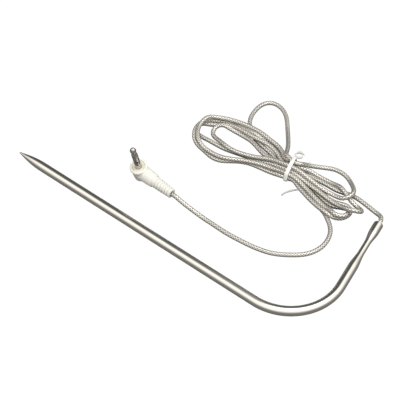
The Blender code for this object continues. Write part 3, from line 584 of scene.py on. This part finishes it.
def skinned(name, skin, along=None):
    """A closed cord from its rings of points, mapped along and round it where its places are given."""
    rings, sides = skin.shape[:2]
    ring = np.repeat(np.arange(rings - 1), sides)
    here = np.tile(np.arange(sides), rings - 1)
    corners = ((0, 0), (0, 1), (1, 1), (1, 0))
    faces = [(ring + down) * sides + (here + over) % sides for down, over in corners]
    faces = np.stack(faces, axis=-1).tolist()
    faces += [list(range(sides))[::-1], list(range((rings - 1) * sides, rings * sides))]
    way = None
    if along is not None:
        way = [np.stack([along[ring + down], (here + over) / sides], axis=-1) for down, over in corners]
        way = np.vstack([np.stack(way, axis=1).reshape(-1, 2), np.zeros((2 * sides, 2))])
    return new_mesh(name, skin.reshape(-1, 3), faces, way)


def make_cable(shader):
    """The braided cable from the liner to the boot, with the weave's swells in its skin."""
    spine = settle(evenly(flowing(np.array([point for run in ROUTE.values() for point in run])), 1.0))
    path = evenly(flowing(spine, 4), RING_STEP)
    heading, side, up = carried_frames(path)
    gone = np.concatenate([[0.0], np.cumsum(np.linalg.norm(np.diff(path, axis=0), axis=1))])
    angle = np.arange(SIDES) / SIDES * 2 * pi
    swell = -np.cos(2 * pi * gone / WEAVE)[:, None] * np.cos(CARRIERS * angle)[None]
    radius = CABLE_RADIUS + RELIEF * (swell - 0.3)
    round_way = side[:, None] * np.cos(angle)[None, :, None] + up[:, None] * np.sin(angle)[None, :, None]
    cable = skinned("braided_cable", path[:, None] + round_way * radius[..., None], gone / WEAVE)
    finish_piece(cable, shader, "braid", "cable_probe_side", "cable_loop", "cable_hank", "cable_plug_side")
    tuple(spine[0] * MM)
    return spine


# ---------------------------------------------------------------- the probe's tube


def ease(value):
    value = min(max(value, 0), 1)
    return value * value * (3 - 2 * value)


def nose_radius(length):
    """The pointed nose is an arc that runs smoothly into the tube, with its very end blunt."""
    arc = (TUBE_RADIUS**2 + NOSE_LENGTH**2) / (2 * TUBE_RADIUS)
    rise = sqrt(arc**2 - (NOSE_LENGTH - min(length, NOSE_LENGTH)) ** 2) + TUBE_RADIUS - arc
    blunt = NOSE_ROUND * sqrt(min(length / NOSE_ROUND, 1)) * max(1 - length / NOSE_LENGTH, 0)
    return max(sqrt(rise**2 + blunt**2), NOSE_FLAT)


def leg_radius(leg):
    narrowing = ease((leg - CRIMP_START) / (CRIMP_NECK - CRIMP_START))
    widening = ease((leg - CRIMP_NECK_END) / (CRIMP_END - CRIMP_NECK_END))
    return TUBE_RADIUS - (TUBE_RADIUS - CRIMP_RADIUS) * (narrowing - widening)


def follow(stations, start, heading, before):
    """Pulls the ring along a straight run of (place, radius) pairs."""
    place, radius = before
    for next_place, next_radius in stations:
        move = [value * (next_place - place) for value in heading]
        centre = [spot + way * next_place for spot, way in zip(start, heading)]
        pull(move, next_radius / radius, centre)
        place, radius = next_place, next_radius
    return place, radius


def swing(angle):
    bpy.ops.mesh.spin(
        steps=44,
        angle=-angle,  # with no window the spin runs the other way
        center=(BEND_START * MM, (TUBE_Y + BEND_RADIUS) * MM, TUBE_RADIUS * MM),
        axis=(0, 0, 1),
    )


def map_tube(tube):
    """Writes the tube's map: millimetres from the nose, and turns round its middle line."""
    mesh = tube.data
    points = np.empty(len(mesh.vertices) * 3)
    mesh.vertices.foreach_get("co", points)
    x, y, z = points.reshape(-1, 3).T / MM
    from_hub = np.arctan2(x - BEND_START, TUBE_Y + BEND_RADIUS - y)
    run = x < BEND_START
    leg = (from_hub > BEND_ANGLE) | (y > LEG_START[1] + 2)
    heading = np.array([cos(BEND_ANGLE), sin(BEND_ANGLE)])
    leg_along = (x - LEG_START[0]) * heading[0] + (y - LEG_START[1]) * heading[1]
    leg_side = -(x - LEG_START[0]) * heading[1] + (y - LEG_START[1]) * heading[0]
    bend_side = BEND_RADIUS - np.hypot(x - BEND_START, y - TUBE_Y - BEND_RADIUS)
    bend_length = BEND_RADIUS * BEND_ANGLE
    along = np.where(run, x - BEND_START, np.where(leg, bend_length + leg_along, from_hub * BEND_RADIUS))
    side = np.where(run, y - TUBE_Y, np.where(leg, leg_side, bend_side))
    turn = np.arctan2(z - TUBE_RADIUS, side) / (2 * pi) + 0.5
    corners = np.empty(len(mesh.loops), np.int32)
    mesh.loops.foreach_get("vertex_index", corners)
    sizes = np.array([face.loop_total for face in mesh.polygons])
    face_of = np.repeat(np.arange(len(sizes)), sizes)
    round_way = turn[corners]
    highest = np.zeros(len(sizes))
    np.maximum.at(highest, face_of, round_way)
    round_way = np.where(highest[face_of] - round_way > 0.5, round_way + 1, round_way)
    for layer in list(mesh.uv_layers):
        mesh.uv_layers.remove(layer)
    layer = mesh.uv_layers.new(name="along_and_round")
    layer.data.foreach_set("uv", np.column_stack([along[corners], round_way]).astype(np.float32).ravel())


def make_tube(shader):
    """Pointed nose, straight run, bend, crimped leg and rolled mouth, then the bore all the way back."""
    steps = [0.02, 0.06, 0.12, 0.3, 0.6, 1.1, 1.8, 2.7, 3.8, 5.0, 6.4, 8.0, 9.6, 11.2, 12.6]
    nose = [(place, nose_radius(place)) for place in steps]
    straight = BEND_START - NOSE_TIP
    run = [(NOSE_LENGTH + (straight - NOSE_LENGTH) * share / 16, TUBE_RADIUS) for share in range(1, 17)]
    start = (NOSE_TIP, TUBE_Y, TUBE_RADIUS)
    forward = (1, 0, 0)
    back = (-1, 0, 0)
    heading = (cos(BEND_ANGLE), sin(BEND_ANGLE), 0)
    leg_places = [2.5 * step for step in range(1, 4)] + list(np.linspace(8.6, 31.4, 39))
    leg = [(place, leg_radius(place)) for place in leg_places]
    roll = []
    for step in range(1, 7):
        angle = step / 6 * pi / 2
        place = LEG_LENGTH - MOUTH_ROLL * (1 - sin(angle))
        roll.append((place, TUBE_RADIUS - MOUTH_ROLL * (1 - cos(angle))))
    bore = TUBE_RADIUS - MOUTH_ROLL - TUBE_WALL
    lip = [(LEG_LENGTH + 0.0001, bore + 0.12), (LEG_LENGTH - 0.05, bore + 0.03), (LEG_LENGTH - 0.15, bore)]

    tube = open_circle("probe_tube_polished", 0.03, 64, turn=(0, pi / 2, 0), spot=start)
    before = follow(nose + run, start, forward, (0, 0.03))
    swing(BEND_ANGLE)
    leg_and_mouth = [*leg, (LEG_LENGTH - MOUTH_ROLL, TUBE_RADIUS), *roll, *lip]
    before = follow(leg_and_mouth, LEG_START, heading, (0, TUBE_RADIUS))
    inside = [(LEG_LENGTH - 2.2 * MOUTH_ROLL, TUBE_RADIUS - TUBE_WALL)]
    inside += [(place, radius - TUBE_WALL) for place, radius in leg[::-2]] + [(0, TUBE_RADIUS - TUBE_WALL)]
    follow(inside, LEG_START, heading, before)
    swing(-BEND_ANGLE)
    inner = [
        (place, max(radius - TUBE_WALL, 0.05))
        for place, radius in (nose + run[:-1])[::-1]
        if place > SOLID_NOSE
    ]
    follow(inner, start, forward, (straight, TUBE_RADIUS - TUBE_WALL))
    close_up(tube)
    smooth(tube, 50)
    map_tube(tube)
    finish_piece(tube, shader, "tube_steel", "probe_tube")
    return tube


def leg_frame(leg):
    """Z along the leg towards the cable."""
    heading = Vector((cos(BEND_ANGLE), sin(BEND_ANGLE), 0))
    place = Matrix.Translation((Vector(LEG_START) + heading * leg) * MM)
    return place @ heading.to_track_quat("Z", "Y").to_matrix().to_4x4()


def make_liner(shader):
    """The sleeve round the cable in the mouth, a little frayed outwards at its cut edge."""
    bore = CABLE_RADIUS + 0.04
    outer = TUBE_RADIUS - MOUTH_ROLL - TUBE_WALL - 0.02
    end = LINER_SHOWS
    profile = [(-4.5, bore), (-4.5, bore + 0.1), (-2.5, outer), (0.0, outer), (end - 0.35, outer)]
    profile += [(end - 0.12, outer - 0.01), (end - 0.03, outer - 0.05), (end, outer - 0.12)]
    profile += [(end, bore + 0.06), (end - 0.08, bore), (-4.5, bore)]
    liner = turned("end_liner_sleeve", profile, 48, True, leg_frame(LEG_LENGTH))
    smooth(liner)
    finish_piece(liner, shader, "liner", "end_liner")


# ---------------------------------------------------------------- the plug

PLUG_TURN = Matrix.Rotation(PLUG_HEADING, 3, "Z") @ Matrix.Rotation(PLUG_ROLL, 3, "X")
SEAT = Matrix.LocRotScale(Vector(PLUG_PLACE) * MM, PLUG_TURN, None)
BOOT_WAY = SEAT @ Matrix.Rotation(pi / 2, 4, "Y")  # Z along the boot
COLLAR_FACE = 3.45
COLLAR_RADIUS = 3.6
HEAD_DEPTH = 3.9
HEAD_RADIUS = 3.2
FOOT_RADIUS = 2.9
INSERT_RADIUS = 2.52
NECK_END = 8.1
BOOT_START, BOOT_END = 9.0, 17.1
BOOT_RADIUS, BOOT_END_RADIUS = 2.33, 1.93
RIBS = 6
WIRE_ROOM = 1.25
CABLE_STOP = 12.7
PIN_RADIUS = 1.25
SLEEVE_TOP, RING_BOTTOM, RING_TOP, TIP_BOTTOM = 7.35, 7.95, 10.55, 11.15


def combine(piece, other, operation):
    """A Boolean with another piece, which is used up."""
    apply(piece, "BOOLEAN", operation=operation, object=other, solver="EXACT")
    bpy.data.objects.remove(other, do_unlink=True)


def rounded(depth, radius, round_by, steps=5, up=True):
    """Profile points of a rounded rim, from its flat to its side."""
    points = []
    for step in range(steps + 1):
        angle = step / steps * pi / 2
        if up:
            points.append((depth - round_by * (1 - cos(angle)), radius - round_by * (1 - sin(angle))))
        else:
            points.append((depth + round_by * (1 - cos(angle)), radius - round_by * (1 - sin(angle))))
    return points


def make_plug_body(shader):
    """Head and barrel with a soft root between them, a ribbed boot, and the pocket for the insert."""
    head = [(-HEAD_DEPTH, 0.4), *rounded(-HEAD_DEPTH, FOOT_RADIUS, 0.9, up=False)]
    head += [(-1.6, FOOT_RADIUS + 0.12), (0.4, HEAD_RADIUS - 0.06), (1.5, HEAD_RADIUS)]
    head += [(2.0, HEAD_RADIUS + 0.16), (2.35, COLLAR_RADIUS - 0.08), (2.6, COLLAR_RADIUS)]
    head += rounded(COLLAR_FACE, COLLAR_RADIUS, 0.5)[::-1]
    head += [(COLLAR_FACE, 0.4)]
    body = turned("plug_body_moulded", head, 96, turn=SEAT)
    barrel = [(0.0, 2.7), (2.0, 3.0), (4.6, 2.94), (6.4, 2.8), (7.3, 2.74)]
    barrel += rounded(NECK_END - 0.1, 2.68, 0.3)[::-1]
    combine(body, turned("barrel", barrel, 96, turn=BOOT_WAY), "UNION")
    apply(body, "REMESH", mode="VOXEL", voxel_size=0.11 * MM)
    apply(body, "SMOOTH", factor=0.5, iterations=9)

    boot = [(NECK_END - 1.5, BOOT_RADIUS - 0.1), (BOOT_START - 0.3, BOOT_RADIUS - 0.06)]
    pitch = (BOOT_END - BOOT_START) / (RIBS + 0.5)
    for rib in range(RIBS):
        start = BOOT_START + pitch * (rib + 0.25)
        share = (start - BOOT_START) / (BOOT_END - BOOT_START)
        radius = BOOT_RADIUS + (BOOT_END_RADIUS - BOOT_RADIUS) * share
        for place, drop in ((-0.1, 0), (0.02, 0.04), (0.1, 0.18), (0.13, 0.5), (0.18, 0.6)):
            boot.append((start + place * pitch, radius - drop))
        for place, drop in ((0.42, 0.6), (0.47, 0.5), (0.5, 0.18), (0.56, 0.04), (0.66, 0)):
            boot.append((start + place * pitch, radius - 0.05 * share - drop))
    boot += rounded(BOOT_END, BOOT_END_RADIUS, 0.28)[::-1]
    combine(body, turned("boot", boot, 72, turn=BOOT_WAY), "UNION")

    pocket = [(-2.9, INSERT_RADIUS + 0.05), (COLLAR_FACE - 0.12, INSERT_RADIUS + 0.05)]
    pocket += [(COLLAR_FACE + 0.05, INSERT_RADIUS + 0.18), (COLLAR_FACE + 1, INSERT_RADIUS + 0.3)]
    combine(body, turned("pocket", pocket, 96, turn=SEAT), "DIFFERENCE")
    bore = CABLE_RADIUS + 0.06
    passage = [(0, WIRE_ROOM), (CABLE_STOP, WIRE_ROOM), (CABLE_STOP, bore), (BOOT_END - 0.15, bore)]
    passage += [(BOOT_END + 0.1, bore + 0.15), (BOOT_END + 1, bore + 0.15)]
    combine(body, turned("passage", passage, 48, turn=BOOT_WAY), "DIFFERENCE")
    smooth(body, 38)
    finish_piece(body, shader, "plug_plastic", "plug_housing")
    return body


def make_insert(shader):
    """The cream disc round the pin, with a low step near its rim."""
    top = COLLAR_FACE - 0.15
    profile = [(0.8, 1.96), (0.8, INSERT_RADIUS), (top - 0.12, INSERT_RADIUS)]
    profile += [(top - 0.02, INSERT_RADIUS - 0.08), (top, INSERT_RADIUS - 0.2)]
    profile += [(top, 2.16), (top - 0.05, 2.1), (top - 0.05, 1.5)]
    profile += [(top - 0.12, PIN_RADIUS + 0.1), (top - 0.2, PIN_RADIUS + 0.04)]
    profile += [(top - 0.7, PIN_RADIUS + 0.04), (top - 0.7, 1.96), (0.8, 1.96)]
    insert = turned("plug_insert_disc", profile, 96, True, SEAT)
    smooth(insert, 30)
    finish_piece(insert, shader, "insert_plastic", "plug_insert")


def make_contacts(metal, black):
    """The three contacts, one inside the other, and the glossy rings between them."""
    sleeve = [(1.74, 0.83), (1.74, 1.9), (2.54, 1.9), (2.54, PIN_RADIUS)]
    sleeve += [(SLEEVE_TOP - 0.08, PIN_RADIUS), (SLEEVE_TOP - 0.02, PIN_RADIUS - 0.03)]
    sleeve += [(SLEEVE_TOP, PIN_RADIUS - 0.08), (SLEEVE_TOP, 0.83), (1.74, 0.83)]
    ring = [(0.74, 0.46), (0.74, 0.59), (RING_BOTTOM, 0.59), (RING_BOTTOM, PIN_RADIUS - 0.07)]
    ring += [(RING_BOTTOM + 0.06, PIN_RADIUS), (RING_TOP - 0.06, PIN_RADIUS), (RING_TOP, PIN_RADIUS - 0.07)]
    ring += [(RING_TOP, 0.46), (0.74, 0.46)]
    tip = [(-0.26, 0.22), (TIP_BOTTOM, 0.22), (TIP_BOTTOM, 1.15), (TIP_BOTTOM + 0.06, 1.23)]
    tip += [(TIP_BOTTOM + place, radius) for place, radius in TIP_SHAPE]
    pieces = [("jack_sleeve_contact", sleeve, "jack_sleeve"), ("jack_ring_contact", ring, "jack_ring")]
    for name, profile, node in pieces:
        piece = turned(name, profile, 72, True, SEAT)
        smooth(piece, 30)
        finish_piece(piece, metal, "contact_nickel", node)
    piece = turned("jack_tip_contact", tip, 72, False, SEAT)
    smooth(piece, 30)
    finish_piece(piece, metal, "contact_nickel", "jack_tip")
    rings = (
        ("rear_insulator_ring", 1.24, 0.65, 0.77, SLEEVE_TOP, "rear_insulator"),
        ("front_insulator_ring", 0.24, 0.28, 0.40, RING_TOP, "front_insulator"),
    )
    for name, end, bore, stem, low, node in rings:
        outer = PIN_RADIUS - 0.02
        high = low + 0.57
        profile = [(end, bore), (end, stem), (low + 0.03, stem), (low + 0.03, outer - 0.05)]
        profile += [(low + 0.08, outer), (high - 0.05, outer), (high, outer - 0.05)]
        profile += [(high, bore), (end, bore)]
        piece = turned(name, profile, 72, True, SEAT)
        smooth(piece, 30)
        finish_piece(piece, black, "contact_insulator", node)


TIP_SHAPE = (
    (0.12, 1.25), (0.46, 1.25), (0.6, 1.21), (0.9, 1.06), (1.25, 0.92), (1.55, 0.86), (1.8, 0.85),
    (2.02, 0.88), (2.25, 0.96), (2.5, 1.08), (2.72, 1.18), (2.95, 1.235), (3.2, 1.24), (3.45, 1.2),
    (3.7, 1.11), (3.95, 0.98), (4.18, 0.8), (4.36, 0.6), (4.48, 0.42), (4.55, 0.27), (4.59, 0.12),
)  # fmt: skip


# ---------------------------------------------------------------- the twist tie

TIE_WIRE_RADIUS = 0.12
CURL_PLACE = (2.1, 4.4)
CURL_TURN = radians(495)

# Both tails: place along the hank, across it and up, then the way that the ribbon's flat side faces
TABLE_TAIL = [
    (0.8, -11.8, 0.72, 0.83, -0.56, 0), (1.6, -10.3, 0.72, 0.8, -0.6, 0), (2.7, -9.05, 0.72, 0.7, -0.7, 0),
    (4.6, -7.6, 0.7, 0.5, -0.85, -0.1), (6.3, -6.75, 0.6, 0.35, -0.75, -0.5),
    (7.6, -6.1, 0.36, 0.1, -0.4, -0.9), (8.1, -5.1, 0.26, 0, 0, -1),
    (7.4, -4.2, 0.25, 0, 0, -1), (5.5, -3.5, 0.28, 0, 0, -1),
    (3.2, -3.3, 0.42, 0, -0.1, -1), (1.5, -3.5, 0.62, 0, -0.2, -0.95),
]  # fmt: skip
FREE_TAIL = [
    (4.5, 4.75, 7.35, 0.5, 0.6, 0.55), (5.7, 3.85, 7.1, 0.3, 0.35, 0.88), (7.1, 2.8, 6.75, 0.25, 0.1, 0.95),
]  # fmt: skip
# Half of the ribbon's outline: place across it and thickness, flat film with its wire's swell in the middle
RIBBON = [
    (-0.7, 0.03), (-0.66, 0.07), (-0.5, 0.08), (-0.28, 0.085), (-0.18, 0.13), (-0.08, 0.185), (0, 0.2),
]  # fmt: skip


def strands_at_tie(spine, along, across):
    """Where the cable's runs pass through the tie, across it and up."""
    place = spine[:, :2] - TIE_PLACE
    forward = place @ along[:2]
    side = place @ across[:2]
    found = []
    for index in range(len(spine) - 1):
        if forward[index] * forward[index + 1] <= 0 and abs(side[index]) < 8:
            share = forward[index] / (forward[index] - forward[index + 1])
            pair = (side, spine[:, 2])
            found.append([values[index] * (1 - share) + values[index + 1] * share for values in pair])
    return np.array(found)


def tie_route(spine, along, across):
    """The ribbon's middle line: in from the table, round the hank and over itself, one curl, a free end."""
    strands = strands_at_tie(spine, along, across)
    band = []
    first, last = radians(-128), radians(-612)
    for angle in np.linspace(first, last, 60):
        away = np.array([cos(angle), sin(angle)])
        lap = (angle - first) / (last - first)
        stand = CABLE_RADIUS + 0.24 + 0.42 * ease(lap * 4 - 2.2)
        side, lift = strands[np.argmax(strands @ away)] + away * stand
        band.append((0.45 + 0.11 * side, side, lift, 0, away[0], away[1]))
    curl = []
    for share in np.linspace(0, 1, 34):
        angle = pi - CURL_TURN * share
        radius = 1.25 + 0.5 * share
        place = (CURL_PLACE[0] + radius * cos(angle), CURL_PLACE[1] + radius * sin(angle))
        curl.append((*place, 7.25 + 0.25 * share, cos(angle), sin(angle), 0.1))
    bridge = [(0.75, 3.2, 7.05, -0.35, 0.1, 0.93)]
    rows = np.array(TABLE_TAIL + band + bridge + curl + FREE_TAIL, float)
    turn = np.array([along, across, (0, 0, 1)])
    places = rows[:, :3] @ turn + np.array([*TIE_PLACE, 0])
    return places, rows[:, 3:] @ turn


def make_tie(spine, shader, metal):
    """A white plastic ribbon with a wire down its middle."""
    along = np.array([cos(TIE_TURN), sin(TIE_TURN), 0])
    across = np.array([-sin(TIE_TURN), cos(TIE_TURN), 0])
    places, faces_to = tie_route(spine, along, across)
    # even steps first, so that the crowded points of the band don't ripple
    both = evenly(np.hstack([places, faces_to]), 0.9)
    both = evenly(flowing(both, 6), 0.16)
    for _ in range(6):
        both[1:-1] = (both[:-2] + 2 * both[1:-1] + both[2:]) / 4
    path, normal = both[:, :3], both[:, 3:]
    heading = np.gradient(path, axis=0)
    heading /= np.linalg.norm(heading, axis=1)[:, None]
    normal = normal - heading * (normal * heading).sum(1)[:, None]
    normal /= np.linalg.norm(normal, axis=1)[:, None]
    width = np.cross(heading, normal)
    half = RIBBON + [(-place, thick) for place, thick in RIBBON[-2::-1]]
    outline = half + [(place, -thick) for place, thick in half[::-1]]
    gone = np.concatenate([[0.0], np.cumsum(np.linalg.norm(np.diff(path, axis=0), axis=1))])
    pinch = 1 + 0.04 * np.sin(gone * 2.1) + 0.03 * np.sin(gone * 5.3 + 1)
    flat = np.array([place for place, _ in outline])
    thick = np.array([depth for _, depth in outline])
    skin = path[:, None] + width[:, None] * (flat[None] * pinch[:, None])[..., None]
    skin = skin + normal[:, None] * thick[None, :, None]
    tie = skinned("twist_tie_ribbon", skin, gone)
    turn_outwards(tie)
    finish_piece(tie, shader, "tie", "twist_tie")

    angle = np.arange(12) / 12 * 2 * pi
    spread = np.cos(angle)[None, :, None] * width[:, None] + np.sin(angle)[None, :, None] * normal[:, None]
    core = path.copy()
    core[0] -= heading[0] * 0.12
    core[-1] += heading[-1] * 0.18
    wire = skinned("tie_core_wire", core[:, None] + spread * TIE_WIRE_RADIUS)
    turn_outwards(wire)
    finish_piece(wire, metal, "copper", "tie_wire")


def turn_outwards(piece):
    bpy.ops.object.select_all(action="DESELECT")
    piece.select_set(True)
    bpy.context.view_layer.objects.active = piece
    bpy.ops.object.mode_set(mode="EDIT")
    bpy.ops.mesh.select_all(action="SELECT")
    bpy.ops.mesh.normals_make_consistent(inside=False)
    bpy.ops.object.mode_set(mode="OBJECT")


# ---------------------------------------------------------------- studio

ROOF = (1.36, 1.35, 1.3, 1)
SKYLINE = (0.18, 0.176, 0.168, 1)
DARK_CORNER = (0.1, 0.1, 0.096, 1)
DARK_TO_THE_LEFT = (-0.05, -0.42)  # the dark corner's soft edges, as parts of a direction
DARK_TO_THE_BACK = (-0.25, 0.4)
ROOF_HEIGHT = 0.75
KEY_POWER = 1.8


CAMERA_LENS = 117.2
CAMERA_SPOT = (200.2, -254.0, 383.0)
CAMERA_AIM = (0.74, -2.01, 0.0)


def place_camera():
    camera = bpy.data.cameras.new("studio_camera")
    camera.lens = CAMERA_LENS
    camera.sensor_width = 36.0
    camera.clip_start = 0.01
    camera.clip_end = 20.0
    holder = bpy.data.objects.new("studio_camera", camera)
    bpy.context.scene.collection.objects.link(holder)
    spot = Vector(CAMERA_SPOT) * MM
    aim = Vector(CAMERA_AIM) * MM
    holder.location = spot
    holder.rotation_euler = (aim - spot).to_track_quat("-Z", "Y").to_euler()
    bpy.context.scene.camera = holder


def area_light(name, spot, aim, size, power):
    light = bpy.data.lights.new(name, "AREA")
    light.shape = "RECTANGLE"
    light.size, light.size_y = size
    light.energy = power
    holder = bpy.data.objects.new(name, light)
    bpy.context.scene.collection.objects.link(holder)
    holder.location = spot
    holder.rotation_euler = (Vector(aim) - Vector(spot)).to_track_quat("-Z", "Y").to_euler()
    holder.visible_camera = False


def lay_floor():
    """White paper that stays white to the eye, and is a darker grey where the pieces reflect it."""
    bpy.ops.object.select_all(action="DESELECT")
    bpy.ops.mesh.primitive_plane_add(size=8.0)
    floor = bpy.context.object
    floor.name = "studio_floor"
    paper = Shader("studio_paper", (0.15, 0.147, 0.142), 0.9)
    shown = paper.node("Emission", Color=(1.0, 1.0, 1.0), Strength=1.05)
    seen = paper.node("LightPath")
    mixed = paper.node("MixShader", in_0=seen, in_1=Wire(paper, paper.surface.outputs[0]), in_2=shown)
    paper.tree.links.new(mixed.socket, paper.output.inputs[0])
    floor.data.materials.append(paper.material)


def light_studio():
    """A room with a wide soft roof, dimmer towards the skyline, and one dark corner at the back left."""
    world = bpy.data.worlds.new("studio")
    bpy.context.scene.world = world
    world.use_nodes = True
    tree = world.node_tree
    tree.nodes.clear()

    def new(kind, **settings):
        node = tree.nodes.new("ShaderNode" + kind)
        for setting, value in settings.items():
            setattr(node, setting, value)
        return node

    def ranged(low, high, kind="SMOOTHSTEP"):
        node = new("MapRange", interpolation_type=kind)
        node.inputs["From Min"].default_value = low
        node.inputs["From Max"].default_value = high
        return node

    coordinates = new("TexCoord")
    split = new("SeparateXYZ")
    seen = new("LightPath")
    dome = new("Background")
    plain = new("Background")
    mixed = new("MixShader")
    output = new("OutputWorld")
    left = ranged(*DARK_TO_THE_LEFT)
    back = ranged(*DARK_TO_THE_BACK)
    corner = new("Math", operation="MULTIPLY")
    height = ranged(0.0, ROOF_HEIGHT, "LINEAR")
    wall = new("Mix", data_type="RGBA")
    wall.inputs[6].default_value = SKYLINE
    wall.inputs[7].default_value = ROOF
    whole = new("Mix", data_type="RGBA")
    whole.inputs[7].default_value = DARK_CORNER
    plain.inputs["Color"].default_value = (1, 1, 1, 1)
    for start, end in (
        (coordinates.outputs["Generated"], split.inputs[0]),
        (split.outputs["X"], left.inputs["Value"]),
        (split.outputs["Y"], back.inputs["Value"]),
        (left.outputs[0], corner.inputs[0]),
        (back.outputs[0], corner.inputs[1]),
        (split.outputs["Z"], height.inputs["Value"]),
        (height.outputs[0], wall.inputs[0]),
        (wall.outputs[2], whole.inputs[6]),
        (corner.outputs[0], whole.inputs[0]),
        (whole.outputs[2], dome.inputs["Color"]),
        (seen.outputs["Is Camera Ray"], mixed.inputs[0]),
        (dome.outputs[0], mixed.inputs[1]),
        (plain.outputs[0], mixed.inputs[2]),
        (mixed.outputs[0], output.inputs[0]),
    ):
        tree.links.new(start, end)
    area_light("key_box", (0.22, 0.1, 0.7), (0, 0, 0), (0.5, 0.7), KEY_POWER)
    bpy.context.scene.view_settings.view_transform = "Standard"


# ---------------------------------------------------------------- the whole

place_camera()
lay_floor()
light_studio()

steel = drawn_steel()
braid = braided_steel()
white = moulded("white_moulded", (0.88, 0.87, 0.82), (0.82, 0.81, 0.76), 0.42)
cream = moulded("cream_moulded", (0.83, 0.77, 0.66), (0.76, 0.69, 0.57), 0.4)
film = moulded("tie_film", (0.93, 0.93, 0.91), (0.88, 0.88, 0.86), 0.3, 900.0, 0.000003)
milky = moulded("liner_sleeve", (0.86, 0.84, 0.88), (0.78, 0.76, 0.8), 0.28, 1500.0)
nickel = turned_nickel("nickel_plate", (0.56, 0.54, 0.505), 0.1)
black = moulded("gloss_black", (0.012, 0.012, 0.013), (0.02, 0.02, 0.022), 0.3, Specular_IOR_Level=0.25)
tinned = fine_grained("tinned_copper", (0.72, 0.7, 0.68), 0.32, 1.0)
hidden_braid = fine_grained("braid_end", (0.6, 0.58, 0.55), 0.42, 0.9, 2400.0)
ceramic = fine_grained("potting_ceramic", (0.75, 0.73, 0.68), 0.85, 0.0, 1200.0)
glass = fine_grained("bead_glass", (0.35, 0.18, 0.08), 0.14)
varnish = fine_grained("varnished_sleeve", (0.75, 0.5, 0.2), 0.38)
shrink = fine_grained("shrink_sleeve", (0.05, 0.05, 0.05), 0.5)
core = fine_grained("core_insulation", (0.85, 0.84, 0.8), 0.42)

dress(hidden_braid, "braid_end_probe", "braid_end_plug")
dress(ceramic, "tip_filler")
dress(glass, "thermistor_bead")
dress(tinned, "bead_lead_a", "bead_lead_b", "splice_barrel_a", "splice_barrel_b", "braid_ferrule")
dress(varnish, "lead_sleeve_a", "lead_sleeve_b")
dress(shrink, "splice_sleeve")
dress(core, "core_wire_a", "core_wire_b", "plug_wire_a", "plug_wire_b")
dress(nickel, "sleeve_terminal", "ring_terminal", "tip_terminal")

plug_body = make_plug_body(white)
make_insert(cream)
make_contacts(nickel, black)
spine = make_cable(braid)
make_tie(spine, film, tinned)
make_tube(steel)
make_liner(milky)
